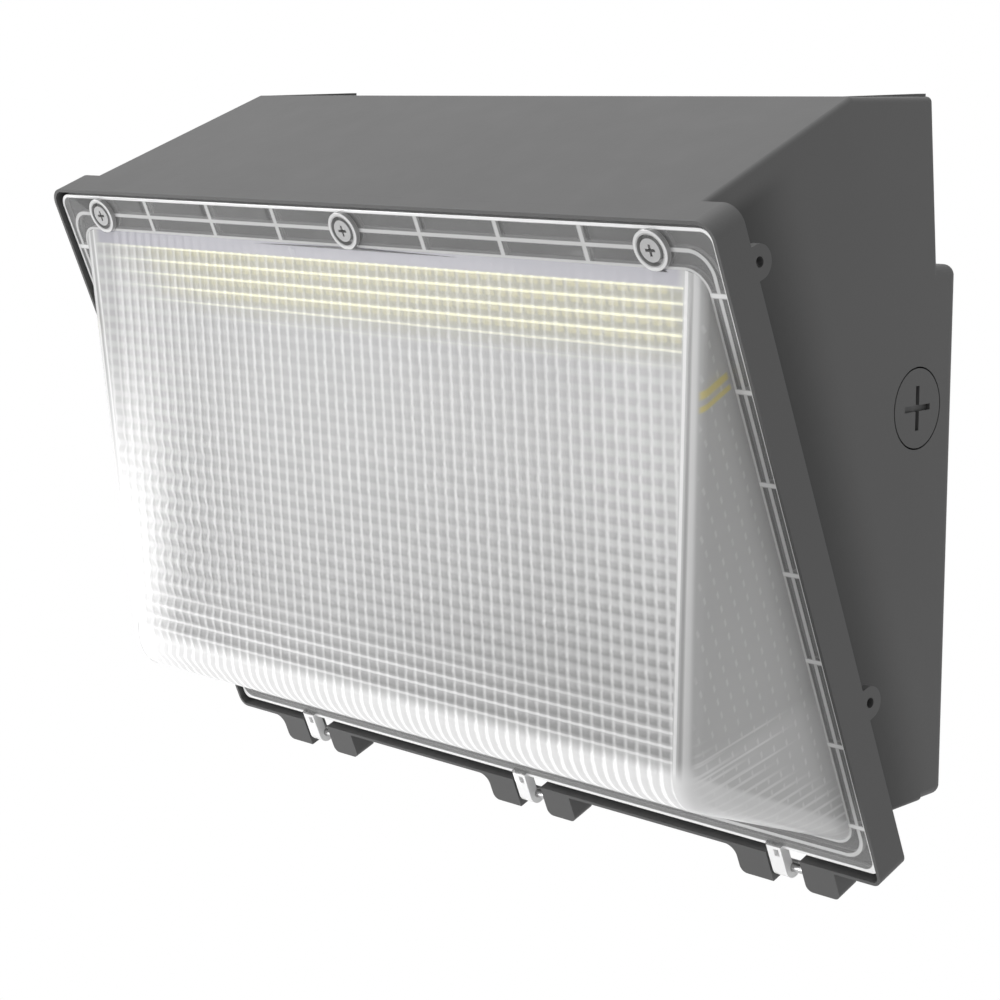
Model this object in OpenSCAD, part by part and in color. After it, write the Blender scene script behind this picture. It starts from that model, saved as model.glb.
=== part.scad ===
// Wall pack light: a sloping cast housing for an outside wall, with a clear ribbed lens
// that hangs on three hinges along its lower edge.
// X runs across the wall, the wall is the plane y = 0 and the front faces -Y, Z is up.
// Most front pieces are drawn in the rim's own frame: X across, Y from the rim's front
// face back into the housing, Z up the slope from the rim's top edge (so down is -Z).

/* [Rim] */
// Width of the rim across the front
rim_w = 361; // [354:1:368]
// Height of the rim, measured along its slope
rim_h = 252; // [248:1:256]
// Thickness of the rim from front to back
rim_t = 14.5; // [14:0.5:17]
// Lean of the rim: its top edge stands further from the wall than its lower edge
rim_tilt = 22; // [21:0.5:23]
// Distance of the rim's top front edge from the wall
rim_reach = 162; // [158:1:168]
// Height of the rim's top front edge above the middle of the back
rim_top = 120; // [118:1:123]
// Corner radius at the top of the rim
rim_top_r = 7; // [5:0.5:9]
// Corner radius at the bottom of the rim
rim_low_r = 4; // [3:0.5:6]
// Thickness of the thin lip that stands round the lens
lip_t = 1.3; // [1.2:0.1:2]
// Depth of the gasket seat behind the front of the lip
seat_depth = 6.8; // [6.4:0.1:7.2]
// Width of the land between the opening's sides and the body's inner walls, at the bottom
open_side = 1; // [0.5:0.25:2]
// Height of the rim left above its opening
open_top = 24; // [23.5:0.5:25]
// Height of the land between the opening's lower edge and the body's floor
open_low = 6; // [5:0.5:7]

/* [Body] */
// Distance of the body's side walls inside the rim's edges, at the top of the rim
body_front_in = 14.5; // [12:0.5:17]
// Distance of the body's side walls inside the rim's edges, at the wall
body_back_in = 25; // [22:0.5:28]
// Length of the top slope from the rim's front to the crease of the roof
roof_run = 100.5; // [96:0.5:106]
// Distance of the roof's back edge from the wall
back_high = 19; // [17:0.5:24]
// Distance of the upper back from the wall, just above the back box
back_low = 13; // [11:0.5:15]
// Height of the body's floor above the rim's lower edge; the back box is centred on the mounting pattern
floor_up = 15.4; // [13.5:0.1:17]
// Wall thickness of the casting
wall_t = 3; // [2.5:0.25:3.5]
// Thickness of the wall that lies on the building
back_t = 4; // [3.5:0.5:5]
// Edge radius of the roof and the sides
edge_r = 2; // [1.5:0.25:2.5]
// Edge radius of the back box
box_edge_r = 4; // [3:0.5:5]
// Height of the two side ridges at the back of the roof
ridge_h = 1; // [0.8:0.1:1.5]
// Width of each side ridge
ridge_w = 3; // [2:0.5:4]

/* [Hinges] */
// Distance of the outer hinges inside the rim's ends, before the offset
hinge_in = 48.5; // [46.5:0.5:52]
// Distance of the middle hinge to the right of the light's middle
hinge_off = 3.8; // [0:0.2:5]
// Width of the gap between the two ears of a hinge
slot_w = 15.6; // [14.5:0.1:17]
// Width of the left ear at its root
ear_left_w = 20; // [19:0.5:22]
// Width of the right ear
ear_right_w = 15.4; // [14:0.2:17]
// Height that the ears hang below the rim
ear_drop = 11.7; // [11.5:0.1:13]
// Thickness of the ears from front to back
ear_t = 10.3; // [9.5:0.1:11.5]
// Radius of the curve where the left ear leaves the rim
ear_r = 4.5; // [3:0.5:5]
// Radius of the ears' lower corners
ear_low_r = 2.8; // [2:0.2:3.6]
// Diameter of a hinge pin
pin_d = 3.5; // [3:0.1:4]
// Distance of the pins' axis behind the rim's front face
pin_in = 4.4; // [4.2:0.1:4.8]
// Distance of the pins' axis below the rim
pin_drop = 6.2; // [6:0.1:6.5]
// Outer radius of a lens hook
hook_r = 4.1; // [3.7:0.1:4.2]
// Width of a lens hook
hook_w = 6.6; // [5:0.2:9]
// Gap between a lens hook and the left ear
hook_gap = 0.9; // [0.5:0.1:1.2]
// Width of the small window at the root of a hook
window_w = 2.4; // [2:0.2:3]
// Height of the small window at the root of a hook
window_h = 3; // [2:0.25:3.5]

/* [Lens] */
// Depth of the lens flange behind the front of the lip
lens_in = 2; // [1.6:0.1:2.2]
// Thickness of the lens flange
flange_t = 2.2; // [2:0.1:2.4]
// Height of the ribs behind the flange
flange_rib_h = 1; // [0.8:0.1:1]
// Width of the ribs behind the flange
flange_rib_w = 1.4; // [1:0.1:1.8]
// Gap between the flange and the lip at each side
flange_gap_side = 1; // [0.7:0.1:1.2]
// Gap between the flange and the lip at the top
flange_gap_top = 1.9; // [1.2:0.1:2.2]
// Gap between the flange and the lip at the bottom
flange_gap_low = 2.3; // [1.8:0.1:2.6]
// Wall thickness of the lens
lens_t = 2.6; // [2.2:0.1:3]
// Width of the flange outside the bulge at each side
strip_side = 8; // [7.5:0.5:9]
// Height of the flange above the bulge
strip_top = 15; // [14.5:0.5:16]
// Height of the flange below the bulge
strip_low = 11; // [10.5:0.5:13]
// Distance of the bulge's lower roll in front of the rim
roll_out = 37.5; // [33:0.5:42]
// Height of the bulge's lower roll above the rim's lower edge
roll_up = 68.5; // [64:0.5:74]
// Radius of the bulge's lower roll
roll_r = 16; // [14:0.5:18]
// Corner radius of the bulge beside the roll
roll_edge_r = 8; // [6:0.5:9]
// Distance of the roll's ends inside the rim's edges
roll_in = 21.5; // [18.5:0.5:25]
// Distance between neighbouring cross ribs of the top strip
rib_pitch_top = 40; // [38:0.5:42]
// Distance between neighbouring cross ribs of the side strips
rib_pitch_side = 33.8; // [32:0.2:35]
// Distance of the lens screws' axes below the rim's top edge
screw_down = 11.2; // [11:0.1:11.8]
// Distance of the outer lens screws inside the rim's edges
screw_in = 29.5; // [27.5:0.5:33]
// Outer radius of a screw boss
boss_r = 7.2; // [6.9:0.1:7.4]

/* [Fasteners] */
// Radius of a lens screw's shank
screw_r = 2; // [1.8:0.1:2.2]
// Radius of a lens screw's head
screw_head_r = 4.2; // [3.8:0.1:4.5]
// Height of a lens screw's head
screw_head_h = 2.6; // [2.2:0.1:3]
// Travel of a lens screw from tight to free
screw_travel = 5; // [4.5:0.1:5.2]
// Radius of the shank of a small inside screw
small_screw_r = 1.45; // [1.3:0.05:1.6]
// Radius of the head of a small inside screw
small_head_r = 2.9; // [2.5:0.1:3.1]
// Height of the head of a small inside screw
small_head_h = 1.9; // [1.6:0.1:2.2]
// Length of the shank of a small inside screw
small_screw_len = 9; // [8:0.5:10]
// Radius of a guard lug
lug_r = 5.8; // [5:0.2:6.2]
// Thickness of a guard lug
lug_t = 3; // [2.5:0.5:4]
// Radius of the hole in a guard lug
lug_hole_r = 1.8; // [1.5:0.1:2]
// Distance of a lug hole's axis behind the rim
lug_back = 2.1; // [2.1:0.1:2.6]
// Distance of the upper lugs below the rim's top edge
lug_high_down = 21; // [16:0.5:24]
// Height of the lower lugs above the rim's lower edge
lug_low_up = 66.5; // [62:0.5:72]

/* [Wall fixing] */
// Distance of the wall screw holes inside the body's sides
wall_hole_in = 25.5; // [23:0.5:30]
// Distance of the wall screw holes inside the back box's top and bottom
wall_hole_end = 18.25; // [16.25:0.25:23]
// Radius of a wall screw hole
wall_hole_r = 3.5; // [3:0.1:4]
// Distance between the two outlet box holes
box_hole_x = 88.9; // [83.3:0.1:90]
// Radius of an outlet box hole
box_hole_r = 2.4; // [2.2:0.1:2.8]
// Radius of the cable hole in the wall grommet
cable_r = 5; // [4:0.25:6]
// Radius of the grommet's body in the back
grommet_r = 9; // [8.5:0.25:10]
// Radius of the grommet's flange
grommet_flange_r = 12.5; // [12:0.25:14]
// Thickness of the grommet's flange
grommet_flange_t = 2.5; // [2:0.25:3]
// Width of the wall seal across its ring
wall_seal_w = 132; // [128:1:136]
// Height of the wall seal across its ring
wall_seal_h = 76; // [70:1:80]
// Width of the wall seal's band
wall_seal_band = 7; // [6:0.5:8]
// Thickness of the wall seal
wall_seal_t = 2; // [1.5:0.25:2]

/* [Conduit plugs] */
// Radius of a plug's head
plug_head_r = 14.3; // [13.5:0.1:15]
// Gap round a plug's head in the side wall
plug_gap = 0.6; // [0.4:0.1:0.8]
// Thickness of a plug's head
plug_head_t = 3; // [2.5:0.25:3.5]
// Radius of a plug's shank
plug_r = 10.6; // [9.8:0.1:10.8]
// Length of a plug's shank
plug_len = 9; // [8:0.5:10]
// Distance of a plug's axis from the wall
plug_in = 24; // [22:0.5:28]
// Height of a plug's axis above the middle of the back
plug_up = 48.3; // [44:0.5:52]
// Length of each slot of the cross in a plug's head
plug_slot_len = 16; // [14:0.5:18]
// Width of each slot of the cross
plug_slot_w = 2.2; // [1.8:0.1:2.6]
// Depth of each slot of the cross
plug_slot_depth = 1.6; // [1.2:0.1:1.8]
// Distance that a plug is drawn out of its entry
plug_travel = 25; // [20:1:30]

/* [Light] */
// Thickness of the tray's sheet
tray_t = 1.2; // [1:0.1:1.4]
// Depth of the tray's pan behind its flange
tray_depth = 7; // [6:0.25:7.2]
// Distance of a light board's outer end from the side of the tray's pan
board_side = 3.5; // [1:0.5:8]
// Height of a light board
board_h = 36; // [34:0.5:38]
// Thickness of a light board
board_t = 1.6; // [1:0.1:2]
// Gap between the two light boards
board_gap = 1.6; // [1:0.1:1.8]
// Distance of the boards' upper edge below the rim's top edge
board_down = 27; // [26.5:0.5:30]
// Distance between neighbouring rows of lamps
lamp_row_pitch = 6; // [5.5:0.1:6.2]
// Distance between neighbouring lamps in a row
lamp_pitch = 6; // [5.8:0.1:8]
// Number of rows of lamps
lamp_rows = 4; // [3:1:4]
// Size of one lamp along the row
lamp_w = 3.5; // [3:0.1:4]
// Size of one lamp across the row
lamp_h = 2.8; // [2.4:0.1:3]
// Thickness of a lamp
lamp_t = 0.8; // [0.6:0.1:1]

/* [Driver] */
// Length of the driver's case
driver_w = 130; // [120:1:136]
// Height of the driver's case
driver_h = 42; // [38:1:44]
// Thickness of the driver's case
driver_t = 28; // [24:1:30]
// Height of the driver's middle above the body's floor
driver_up = 36.25; // [33:0.25:38.25]
// Distance of the driver from the back wall of the housing
driver_stand = 4; // [3.5:0.5:6]
// Thickness of a driver end cap
cap_t = 3; // [2.5:0.5:4]
// Length of the foot on a driver end cap
foot_len = 11; // [10.5:0.5:13]
// Thickness of the foot on a driver end cap
foot_t = 2.4; // [2:0.2:3]
// Outer radius of one lead wire
lead_r = 1.1; // [0.9:0.1:1.3]

/* [Hidden] */
$fn = 48;
// Segments of a rounding ball and of the lens's rolls
ball_fn = 24;

// Overrun of a cutting tool past the face that it cuts
over = 1;
// Running fit of a turning or sliding round piece, on the radius
fit = 0.08;
// Close fit of a fixed round piece, on the radius
seat_fit = 0.05;
// Clearance between pieces of different bodies
gap = 0.3;
// Half
half = 0.5;

// Directions and points of the rim's frame, as [y, z] in the part's frame
function rim_y(n, s) = -rim_reach + n * cos(rim_tilt) + s * sin(rim_tilt);
function rim_z(n, s) = rim_top + n * sin(rim_tilt) - s * cos(rim_tilt);
function rim_pt(n, s) = [rim_y(n, s), rim_z(n, s)];
// Distance down the rim's slope at which a plane of depth n reaches the height z
function rim_s_at(n, z) = (rim_top + n * sin(rim_tilt) - z) / cos(rim_tilt);

// Widths and heights that follow from the rim
body_front_w = rim_w - 2 * body_front_in;
body_back_w = rim_w - 2 * body_back_in;
box_h = -2 * (rim_z(0, rim_h) + floor_up);
hinge_pitch = rim_w * half - hinge_in;
roll_w = rim_w - 2 * roll_in;
roll_down = rim_h - roll_up;
screw_out = rim_w * half - screw_in;
lug_low_down = rim_h - lug_low_up;
wall_hole_x = body_back_w - 2 * wall_hole_in;
wall_hole_z = box_h - 2 * wall_hole_end;

// The side walls draw in towards the wall
body_front_y = rim_y(rim_t, 0);
side_draft = (body_front_w - body_back_w) * half / -body_front_y;
draft_angle = atan(side_draft);
function side_x(y) = body_back_w * half - y * side_draft;

roof_z = rim_z(roof_run, 0);
box_top = box_h * half;

// Hinge places
pin_n = pin_in;
pin_s = rim_h + pin_drop;
hinge_xs = [hinge_off - hinge_pitch, hinge_off, hinge_off + hinge_pitch];

// Lens flange edges
flange_half = rim_w * half - lip_t - flange_gap_side;
flange_top = lip_t + flange_gap_top;
flange_low = rim_h - lip_t - flange_gap_low;
flange_top_r = rim_top_r - lip_t;
flange_low_r = rim_low_r - lip_t;
flange_back = lens_in + flange_t;
rib_back = flange_back + flange_rib_h;
bulge_half = flange_half - strip_side;
bulge_top = flange_top + strip_top;
bulge_low = flange_low - strip_low;
// Corner radius of the bulge's root
bulge_root_r = roll_edge_r;
rib_loop_half = flange_half - strip_side * half;
rib_loop_low = flange_low - strip_low * half;
screw_xs = [-screw_out, 0, screw_out];

// Opening of the rim, inside the body's walls all round
opening_low = rim_s_at(rim_t, -box_top + wall_t) - open_low;
opening_half = side_x(rim_y(rim_t, opening_low)) - wall_t - open_side;

// The gasket ends at the bulge, and the tray's flange lies on the seat inside it
gasket_t = seat_depth - rib_back - gap;
gasket_edge = gap;
tray_n = seat_depth - tray_t;
tray_floor_n = tray_n + tray_depth;
tray_clear = 1;
tray_half = bulge_half - 2 * gap;
tray_top = bulge_top + 2 * gap;
tray_low = bulge_low - 2 * gap;
pan_half = opening_half - tray_clear;
pan_top = open_top + tray_clear;
pan_low = opening_low - tray_clear;

// Lens screws and their clips
clip_t = 0.8;
clip_r = screw_r + 1.2 * clip_t;
clip_gap = 0.4;
clip_n = rib_back + clip_gap + screw_travel;
screw_hole_n = clip_n + clip_t + clip_gap;
screw_tip_n = screw_hole_n + screw_travel;
// The lens swings the screws up a little as it opens, so their holes leave room
swing_gap = 0.4;
clip_bore_r = clip_r + swing_gap + gap;
boss_wall = 1.6;
boss_front = lens_in - boss_wall;
boss_floor_n = lens_in + flange_rib_h;
screw_post_r = 5.2;
screw_post_end = screw_tip_n + wall_t;

// Tray posts, as far out as the heads of their screws let them stand
post_r = 4.5;
post_high_s = 70;
post_low_up = 37;
post_low_s = rim_h - post_low_up;
post_len = 20;
post_x = pan_half - tray_t - small_head_r - gap;

// Plug places
plug_ring_t = 1.6;
plug_boss_r = plug_head_r + plug_gap + wall_t;
plug_boss_len = plug_head_t + plug_ring_t + plug_len + wall_t * half;

// Driver places
driver_back = back_t + driver_stand;
driver_post_r = 4;
driver_foot_x = (driver_w + foot_len) * half + cap_t;
driver_down = box_top - driver_up;

module ball(r) {
    sphere(r / cos(180 / ball_fn), $fn = ball_fn);
}

// Places children in the rim's frame
module on_rim() {
    translate([0, -rim_reach, rim_top]) rotate([rim_tilt, 0, 0]) children();
}

// Extrudes a flat outline, drawn as x and up the slope, from depth a to depth b
module slab(a, b) {
    translate([0, b, 0]) rotate([90, 0, 0]) linear_extrude(height = b - a) children();
}

// A cylinder along the rim's depth, from a to b, at x and s
module rim_rod(x, s, r, a, b) {
    translate([x, b, -s]) rotate([90, 0, 0]) cylinder(r = r, h = b - a);
}

// A box in the rim's frame, given by its ranges across, in depth and down
module rim_box(x0, x1, n0, n1, s0, s1) {
    translate([x0, n0, -s1]) cube([x1 - x0, n1 - n0, s1 - s0]);
}

// Outline of a panel with its own radii at the top and the bottom corners
module panel(half_w, top, low, r_top, r_low) {
    translate([-half_w, r_low - low]) square([2 * half_w, low - top - r_low - r_top]);
    translate([r_top - half_w, r_low - low]) square([2 * (half_w - r_top), low - top - r_low]);
    translate([r_low - half_w, -low]) square([2 * (half_w - r_low), low - top - r_top]);
    for (side = [-1, 1]) {
        translate([side * (half_w - r_top), -top - r_top]) circle(r_top);
        translate([side * (half_w - r_low), r_low - low]) circle(r_low);
    }
}

// A band of width band that runs round inside a panel
module panel_ring(half_w, top, low, r_top, r_low, band) {
    difference() {
        panel(half_w, top, low, r_top, r_low);
        panel(half_w - band, top + band, low - band, max(r_top - band, band * half),
              max(r_low - band, band * half));
    }
}

// Convex outer shapes of the body: rounded balls at the corners, set in from the faces
module body_corner(y, z, r) {
    for (side = [-1, 1])
        translate([side * (side_x(y) - r / cos(draft_angle)), y, z]) ball(r);
}

module body_outer() {
    crease_n = roof_run - edge_r * tan(rim_tilt * half);
    foot_z = -box_top + edge_r;
    hull() {
        body_corner(rim_y(rim_t * half, edge_r), rim_z(rim_t * half, edge_r), edge_r);
        body_corner(rim_y(crease_n, edge_r), roof_z - edge_r, edge_r);
        body_corner(-back_high - edge_r, roof_z - edge_r, edge_r);
        body_corner(-back_low - edge_r, box_top - edge_r, edge_r);
        body_corner(-back_low - edge_r, foot_z, edge_r);
        body_corner(rim_y(rim_t * half, rim_s_at(rim_t * half, foot_z)), foot_z, edge_r);
    }
}

module box_outer() {
    box_front = -back_low - 2 * box_edge_r;
    intersection() {
        hull() for (up = [-1, 1]) {
            body_corner(-box_edge_r, up * (box_top - box_edge_r), box_edge_r);
            body_corner(box_front - 2 * box_edge_r, up * (box_top - box_edge_r), box_edge_r);
        }
        translate([-rim_w * half, box_front, -rim_reach])
            cube([rim_w, rim_reach, 2 * rim_reach]);
    }
}

// Hollow of the body: the side profile crossed with the plan
module body_hollow() {
    crease_z = roof_z - wall_t;
    crease_n = roof_run - wall_t * tan(rim_tilt * half);
    in_low = -box_top + wall_t;
    depth_n = rim_t - over;
    plan_front = rim_reach + over;
    intersection() {
        rotate([90, 0, 90]) linear_extrude(height = rim_w, center = true) polygon([
            rim_pt(depth_n, wall_t),
            [rim_y(crease_n, wall_t), crease_z],
            [-back_high - wall_t, crease_z],
            [-back_low - wall_t, box_top - wall_t],
            [-back_t, box_top - wall_t],
            [-back_t, in_low],
            [rim_y(depth_n, rim_s_at(depth_n, in_low)), in_low]
        ]);
        translate([0, 0, -rim_reach]) linear_extrude(height = 2 * rim_reach) polygon([
            [side_x(0) - wall_t, 0],
            [side_x(-plan_front) - wall_t, -plan_front],
            [wall_t - side_x(-plan_front), -plan_front],
            [wall_t - side_x(0), 0]
        ]);
    }
}

// The two low ridges that carry the side walls past the roof
module roof_ridge() {
    front_y = rim_y(roof_run, 0);
    x_out = side_x(-back_high) - edge_r;
    rotate([90, 0, 90]) translate([0, 0, x_out - ridge_w]) linear_extrude(height = ridge_w)
        polygon([
            [front_y, roof_z - ridge_h],
            [front_y, roof_z],
            [-back_high - edge_r, roof_z + ridge_h],
            [-back_high - edge_r, roof_z - ridge_h]
        ]);
}

// Ears of one hinge, drawn as x and up the slope, with x = 0 in the middle of the slot
module ear_outlines() {
    slot_side = slot_w * half;
    low = rim_h + ear_drop;
    root = rim_h - lip_t;
    r = ear_low_r;
    straight_w = ear_left_w - ear_r;
    for (part = [[-slot_side - straight_w, straight_w, 1], [slot_side, ear_right_w, 0]]) {
        x0 = part[0];
        x1 = x0 + part[1];
        translate([x0, r - low]) square([part[1], low - root - r]);
        translate([x0 + r, -low]) square([part[1] - r * (2 - part[2]), r]);
        translate([x0 + r, r - low]) circle(r);
        if (part[2] == 0) translate([x1 - r, r - low]) circle(r);
    }
    difference() {
        translate([-slot_side - ear_left_w, -rim_h - ear_r]) square([ear_r, ear_r + lip_t]);
        translate([-slot_side - ear_left_w, -rim_h - ear_r]) circle(ear_r);
    }
}

// A rod along X in the rim's frame
module rim_pin(x0, x1, n, s, r) {
    translate([x0, n, -s]) rotate([0, 90, 0]) cylinder(r = r, h = x1 - x0);
}

pin_reach = ear_right_w - ear_r;
pin_left = -slot_w * half - pin_reach;
pin_right = slot_w * half + pin_reach;

// Places children at the middle of a plug's face, with X pointing out of the side wall
module on_side(side) {
    translate([side * side_x(-plug_in), -plug_in, plug_up])
        rotate([0, 0, side > 0 ? draft_angle : 180 - draft_angle]) children();
}

// A rod along the local X, from a to b
module side_rod(r, a, b) {
    translate([a, 0, 0]) rotate([0, 90, 0]) cylinder(r = r, h = b - a);
}

// A rod square to the wall, from depth a to depth b in front of it
module wall_rod(x, z, r, a, b) {
    translate([x, -a, z]) rotate([90, 0, 0]) cylinder(r = r, h = b - a);
}

module tray_post(side, s) {
    start_n = tray_floor_n + tray_t;
    end_n = start_n + post_len;
    web_end = side_x(rim_y(end_n, s)) - wall_t * half * half;
    web = post_r;
    rim_rod(side * post_x, s, post_r, start_n, end_n);
    mirror([side > 0 ? 0 : 1, 0, 0])
        rim_box(post_x, web_end, start_n, end_n, s - web * half, s + web * half);
}

module screw_post(x) {
    rim_rod(x, screw_down, screw_post_r, rim_t - over, screw_post_end);
    rim_box(x - screw_post_r * half, x + screw_post_r * half, rim_t - over, screw_post_end,
            wall_t * half, screw_down);
}

module guard_lug(side, s) {
    lug_n = rim_t + lug_back;
    x0 = side > 0 ? rim_w * half - lug_t : -rim_w * half;
    rim_pin(x0, x0 + lug_t, lug_n, s, lug_r);
    rim_box(x0, x0 + lug_t, rim_t - over, lug_n, s - lug_r, s + lug_r);
}

module housing() {
    lug_places = [lug_high_down, lug_low_down];
    color([0.36, 0.36, 0.37]) difference() {
        union() {
            difference() {
                union() {
                    body_outer();
                    box_outer();
                    roof_ridge();
                    mirror([1, 0, 0]) roof_ridge();
                    on_rim() slab(0, rim_t) panel(rim_w * half, 0, rim_h, rim_top_r, rim_low_r);
                }
                body_hollow();
                on_rim() slab(-over, seat_depth)
                    panel(rim_w * half - lip_t, lip_t, rim_h - lip_t, flange_top_r, flange_low_r);
                on_rim() slab(0, rim_t + over)
                    panel(opening_half, open_top, opening_low, rim_low_r, rim_low_r);
            }
            on_rim() for (x = hinge_xs)
                translate([x, 0, 0]) slab(0, ear_t) ear_outlines();
            on_rim() for (x = screw_xs) screw_post(x);
            on_rim() for (side = [-1, 1], s = lug_places) guard_lug(side, s);
            on_rim() for (side = [-1, 1], s = [post_high_s, post_low_s]) tray_post(side, s);
            for (side = [-1, 1]) {
                on_side(side) side_rod(plug_boss_r, -plug_boss_len, -wall_t * half);
                wall_rod(side * driver_foot_x, -driver_down, driver_post_r, back_t * half,
                         driver_back);
            }
            wall_rod(earth_x, earth_z, earth_post_r, back_t * half, back_t + earth_stand);
        }
        // Hinge slots through the lip, and the pins' bores
        on_rim() for (x = hinge_xs) {
            rim_box(x - slot_w * half, x + slot_w * half, -over, seat_depth,
                    rim_h - lip_t - over, rim_h + over);
            rim_pin(x + pin_left - ear_left_w, x + pin_right + gap, pin_n, pin_s,
                    pin_d * half + seat_fit);
        }
        // Lens screw holes with the wider bores that take their clips
        on_rim() for (x = screw_xs) {
            rim_rod(x, screw_down, clip_bore_r, 0, screw_hole_n);
            rim_rod(x, screw_down, screw_r + swing_gap, 0, screw_tip_n + gap);
        }
        on_rim() for (side = [-1, 1], s = lug_places) {
            x0 = side > 0 ? rim_w * half - lug_t - over : -rim_w * half - over;
            rim_pin(x0, x0 + lug_t + 2 * over, rim_t + lug_back, s, lug_hole_r);
        }
        on_rim() for (side = [-1, 1], s = [post_high_s, post_low_s])
            rim_rod(side * post_x, s, small_screw_r + seat_fit, tray_floor_n,
                    tray_floor_n + tray_t + small_screw_len);
        for (side = [-1, 1]) {
            on_side(side) side_rod(plug_head_r + plug_gap, -plug_head_t - plug_ring_t, over);
            on_side(side) side_rod(plug_r + fit, -plug_boss_len - over, 0);
            wall_rod(side * driver_foot_x, -driver_down, small_screw_r + seat_fit,
                     driver_back - driver_stand - small_screw_r, driver_back + over);
            wall_rod(side * box_hole_x * half, 0, box_hole_r, -over, back_t + over);
            for (up = [-1, 1])
                wall_rod(side * wall_hole_x * half, up * wall_hole_z * half, wall_hole_r,
                         -over, back_t + over);
        }
        wall_rod(0, 0, grommet_r, -over, back_t + over);
        wall_rod(earth_x, earth_z, small_screw_r + seat_fit, back_t * half,
                 back_t + earth_stand + over);
        translate([0, over, 0]) seal_band(seat_fit, wall_seal_t + over);
    }
}

// Band of the wall seal, widened by extra on both edges
module seal_band(extra, t) {
    r_out = wall_seal_band + extra;
    rotate([90, 0, 0]) linear_extrude(height = t) translate([0, wall_seal_h * half])
        panel_ring(wall_seal_w * half + extra, -extra, wall_seal_h + extra, r_out, r_out,
                   wall_seal_band + 2 * extra);
}

// Outer or inner skin of the bulge: its root on the flange and its lower roll
module bulge_skin(inset, root_back) {
    ring_r = roll_r - roll_edge_r;
    hull() {
        slab(lens_in, root_back)
            panel(bulge_half - inset, bulge_top + inset, bulge_low - inset,
                  bulge_root_r, bulge_root_r, $fn = ball_fn);
        for (side = [-1, 1])
            translate([side * (roll_w * half - roll_edge_r), -roll_out, -roll_down])
                rotate([0, 90, 0]) rotate_extrude($fn = ball_fn) intersection() {
                    translate([ring_r, 0]) circle(roll_edge_r - inset, $fn = ball_fn);
                    translate([0, -roll_r]) square([2 * roll_r, 2 * roll_r]);
                }
    }
}

// Cross ribs of the flange, from the bulge out to the edge
module flange_ribs() {
    side_span = bulge_low - bulge_top;
    side_count = floor(side_span / rib_pitch_side);
    first_s = bulge_top + (side_span - side_count * rib_pitch_side) * half;
    rib = flange_rib_w * half;
    for (side = [-1, 1], k = [1:3])
        rim_box(side * k * rib_pitch_top - rib, side * k * rib_pitch_top + rib,
                flange_back, rib_back, flange_top, bulge_top);
    for (side = [-1, 1], k = [0:side_count]) {
        s = first_s + k * rib_pitch_side;
        x0 = side > 0 ? bulge_half : -flange_half;
        rim_box(x0, x0 + strip_side, flange_back, rib_back, s - rib, s + rib);
    }
}

// Hook of the lens: a leg in front of the pin that curls under and behind it
module hook(x) {
    x0 = x - slot_w * half + hook_gap;
    x1 = x0 + hook_w;
    front_n = pin_n - hook_r;
    window_x = x1 - window_w;
    window_s = flange_low + window_h * half;
    difference() {
        union() {
            rim_box(x0, x1, front_n, flange_back, flange_low - flange_t, flange_low + window_h);
            rim_box(x0, x1, front_n, pin_n, flange_low, pin_s);
            rim_pin(x0, x1, pin_n, pin_s, hook_r);
        }
        rim_pin(x0 - over, x1 + over, pin_n, pin_s, pin_d * half + fit);
        rim_box(x0 - over, x1 + over, pin_n, pin_n + hook_r + over,
                pin_s - hook_r - over, pin_s);
        rim_box(window_x - window_w * half, window_x + window_w * half, front_n - over,
                flange_back + over, window_s - window_h * half, window_s + window_h * half);
    }
}

module lens() {
    rib_loop_r = flange_top_r + strip_side;
    color([0.86, 0.87, 0.88, 0.6]) on_rim() difference() {
        union() {
            slab(lens_in, flange_back)
                panel(flange_half, flange_top, flange_low, flange_top_r, flange_low_r);
            slab(flange_back, rib_back)
                panel_ring(flange_half, flange_top, flange_low, flange_top_r, flange_low_r,
                           flange_rib_w);
            slab(flange_back, rib_back)
                panel_ring(rib_loop_half + flange_rib_w * half, screw_down - flange_rib_w * half,
                           rib_loop_low + flange_rib_w * half, rib_loop_r, flange_top_r,
                           flange_rib_w);
            flange_ribs();
            bulge_skin(0, flange_back);
            for (x = screw_xs) rim_rod(x, screw_down, boss_r, boss_front, rib_back);
            for (x = hinge_xs) hook(x);
        }
        bulge_skin(lens_t, flange_back + over);
        for (x = screw_xs) {
            rim_rod(x, screw_down, boss_r - boss_wall, boss_front - over, boss_floor_n);
            rim_rod(x, screw_down, screw_r + clip_gap, boss_front, rib_back + over);
        }
    }
}

module lens_gasket() {
    color([0.16, 0.16, 0.17]) on_rim() difference() {
        slab(seat_depth - gasket_t, seat_depth)
            panel(rim_w * half - lip_t - gasket_edge, lip_t + gasket_edge,
                  rim_h - lip_t - gasket_edge, flange_top_r, flange_low_r);
        slab(0, seat_depth + over)
            panel(bulge_half, bulge_top, bulge_low, rim_low_r, rim_low_r);
        for (x = screw_xs) rim_rod(x, screw_down, clip_bore_r + gap, 0, seat_depth + over);
    }
}

module hinge_pin(x) {
    color("silver") on_rim()
        rim_pin(x + pin_left, x + pin_right, pin_n, pin_s, pin_d * half);
}

// A cross recess for a screwdriver, cut into a head whose top is at depth n
module cross_recess(x, s, r, n) {
    blade = r * half * half;
    rim_box(x - r * half, x + r * half, n - over, n + r * half, s - blade * half, s + blade * half);
    rim_box(x - blade * half, x + blade * half, n - over, n + r * half, s - r * half, s + r * half);
}

module lens_screw(x) {
    head_n = boss_floor_n - screw_head_h;
    color("lightgray") on_rim() difference() {
        union() {
            rim_rod(x, screw_down, screw_head_r, head_n, boss_floor_n);
            rim_rod(x, screw_down, screw_r, head_n, screw_tip_n);
        }
        cross_recess(x, screw_down, screw_head_r, head_n);
    }
}

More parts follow.
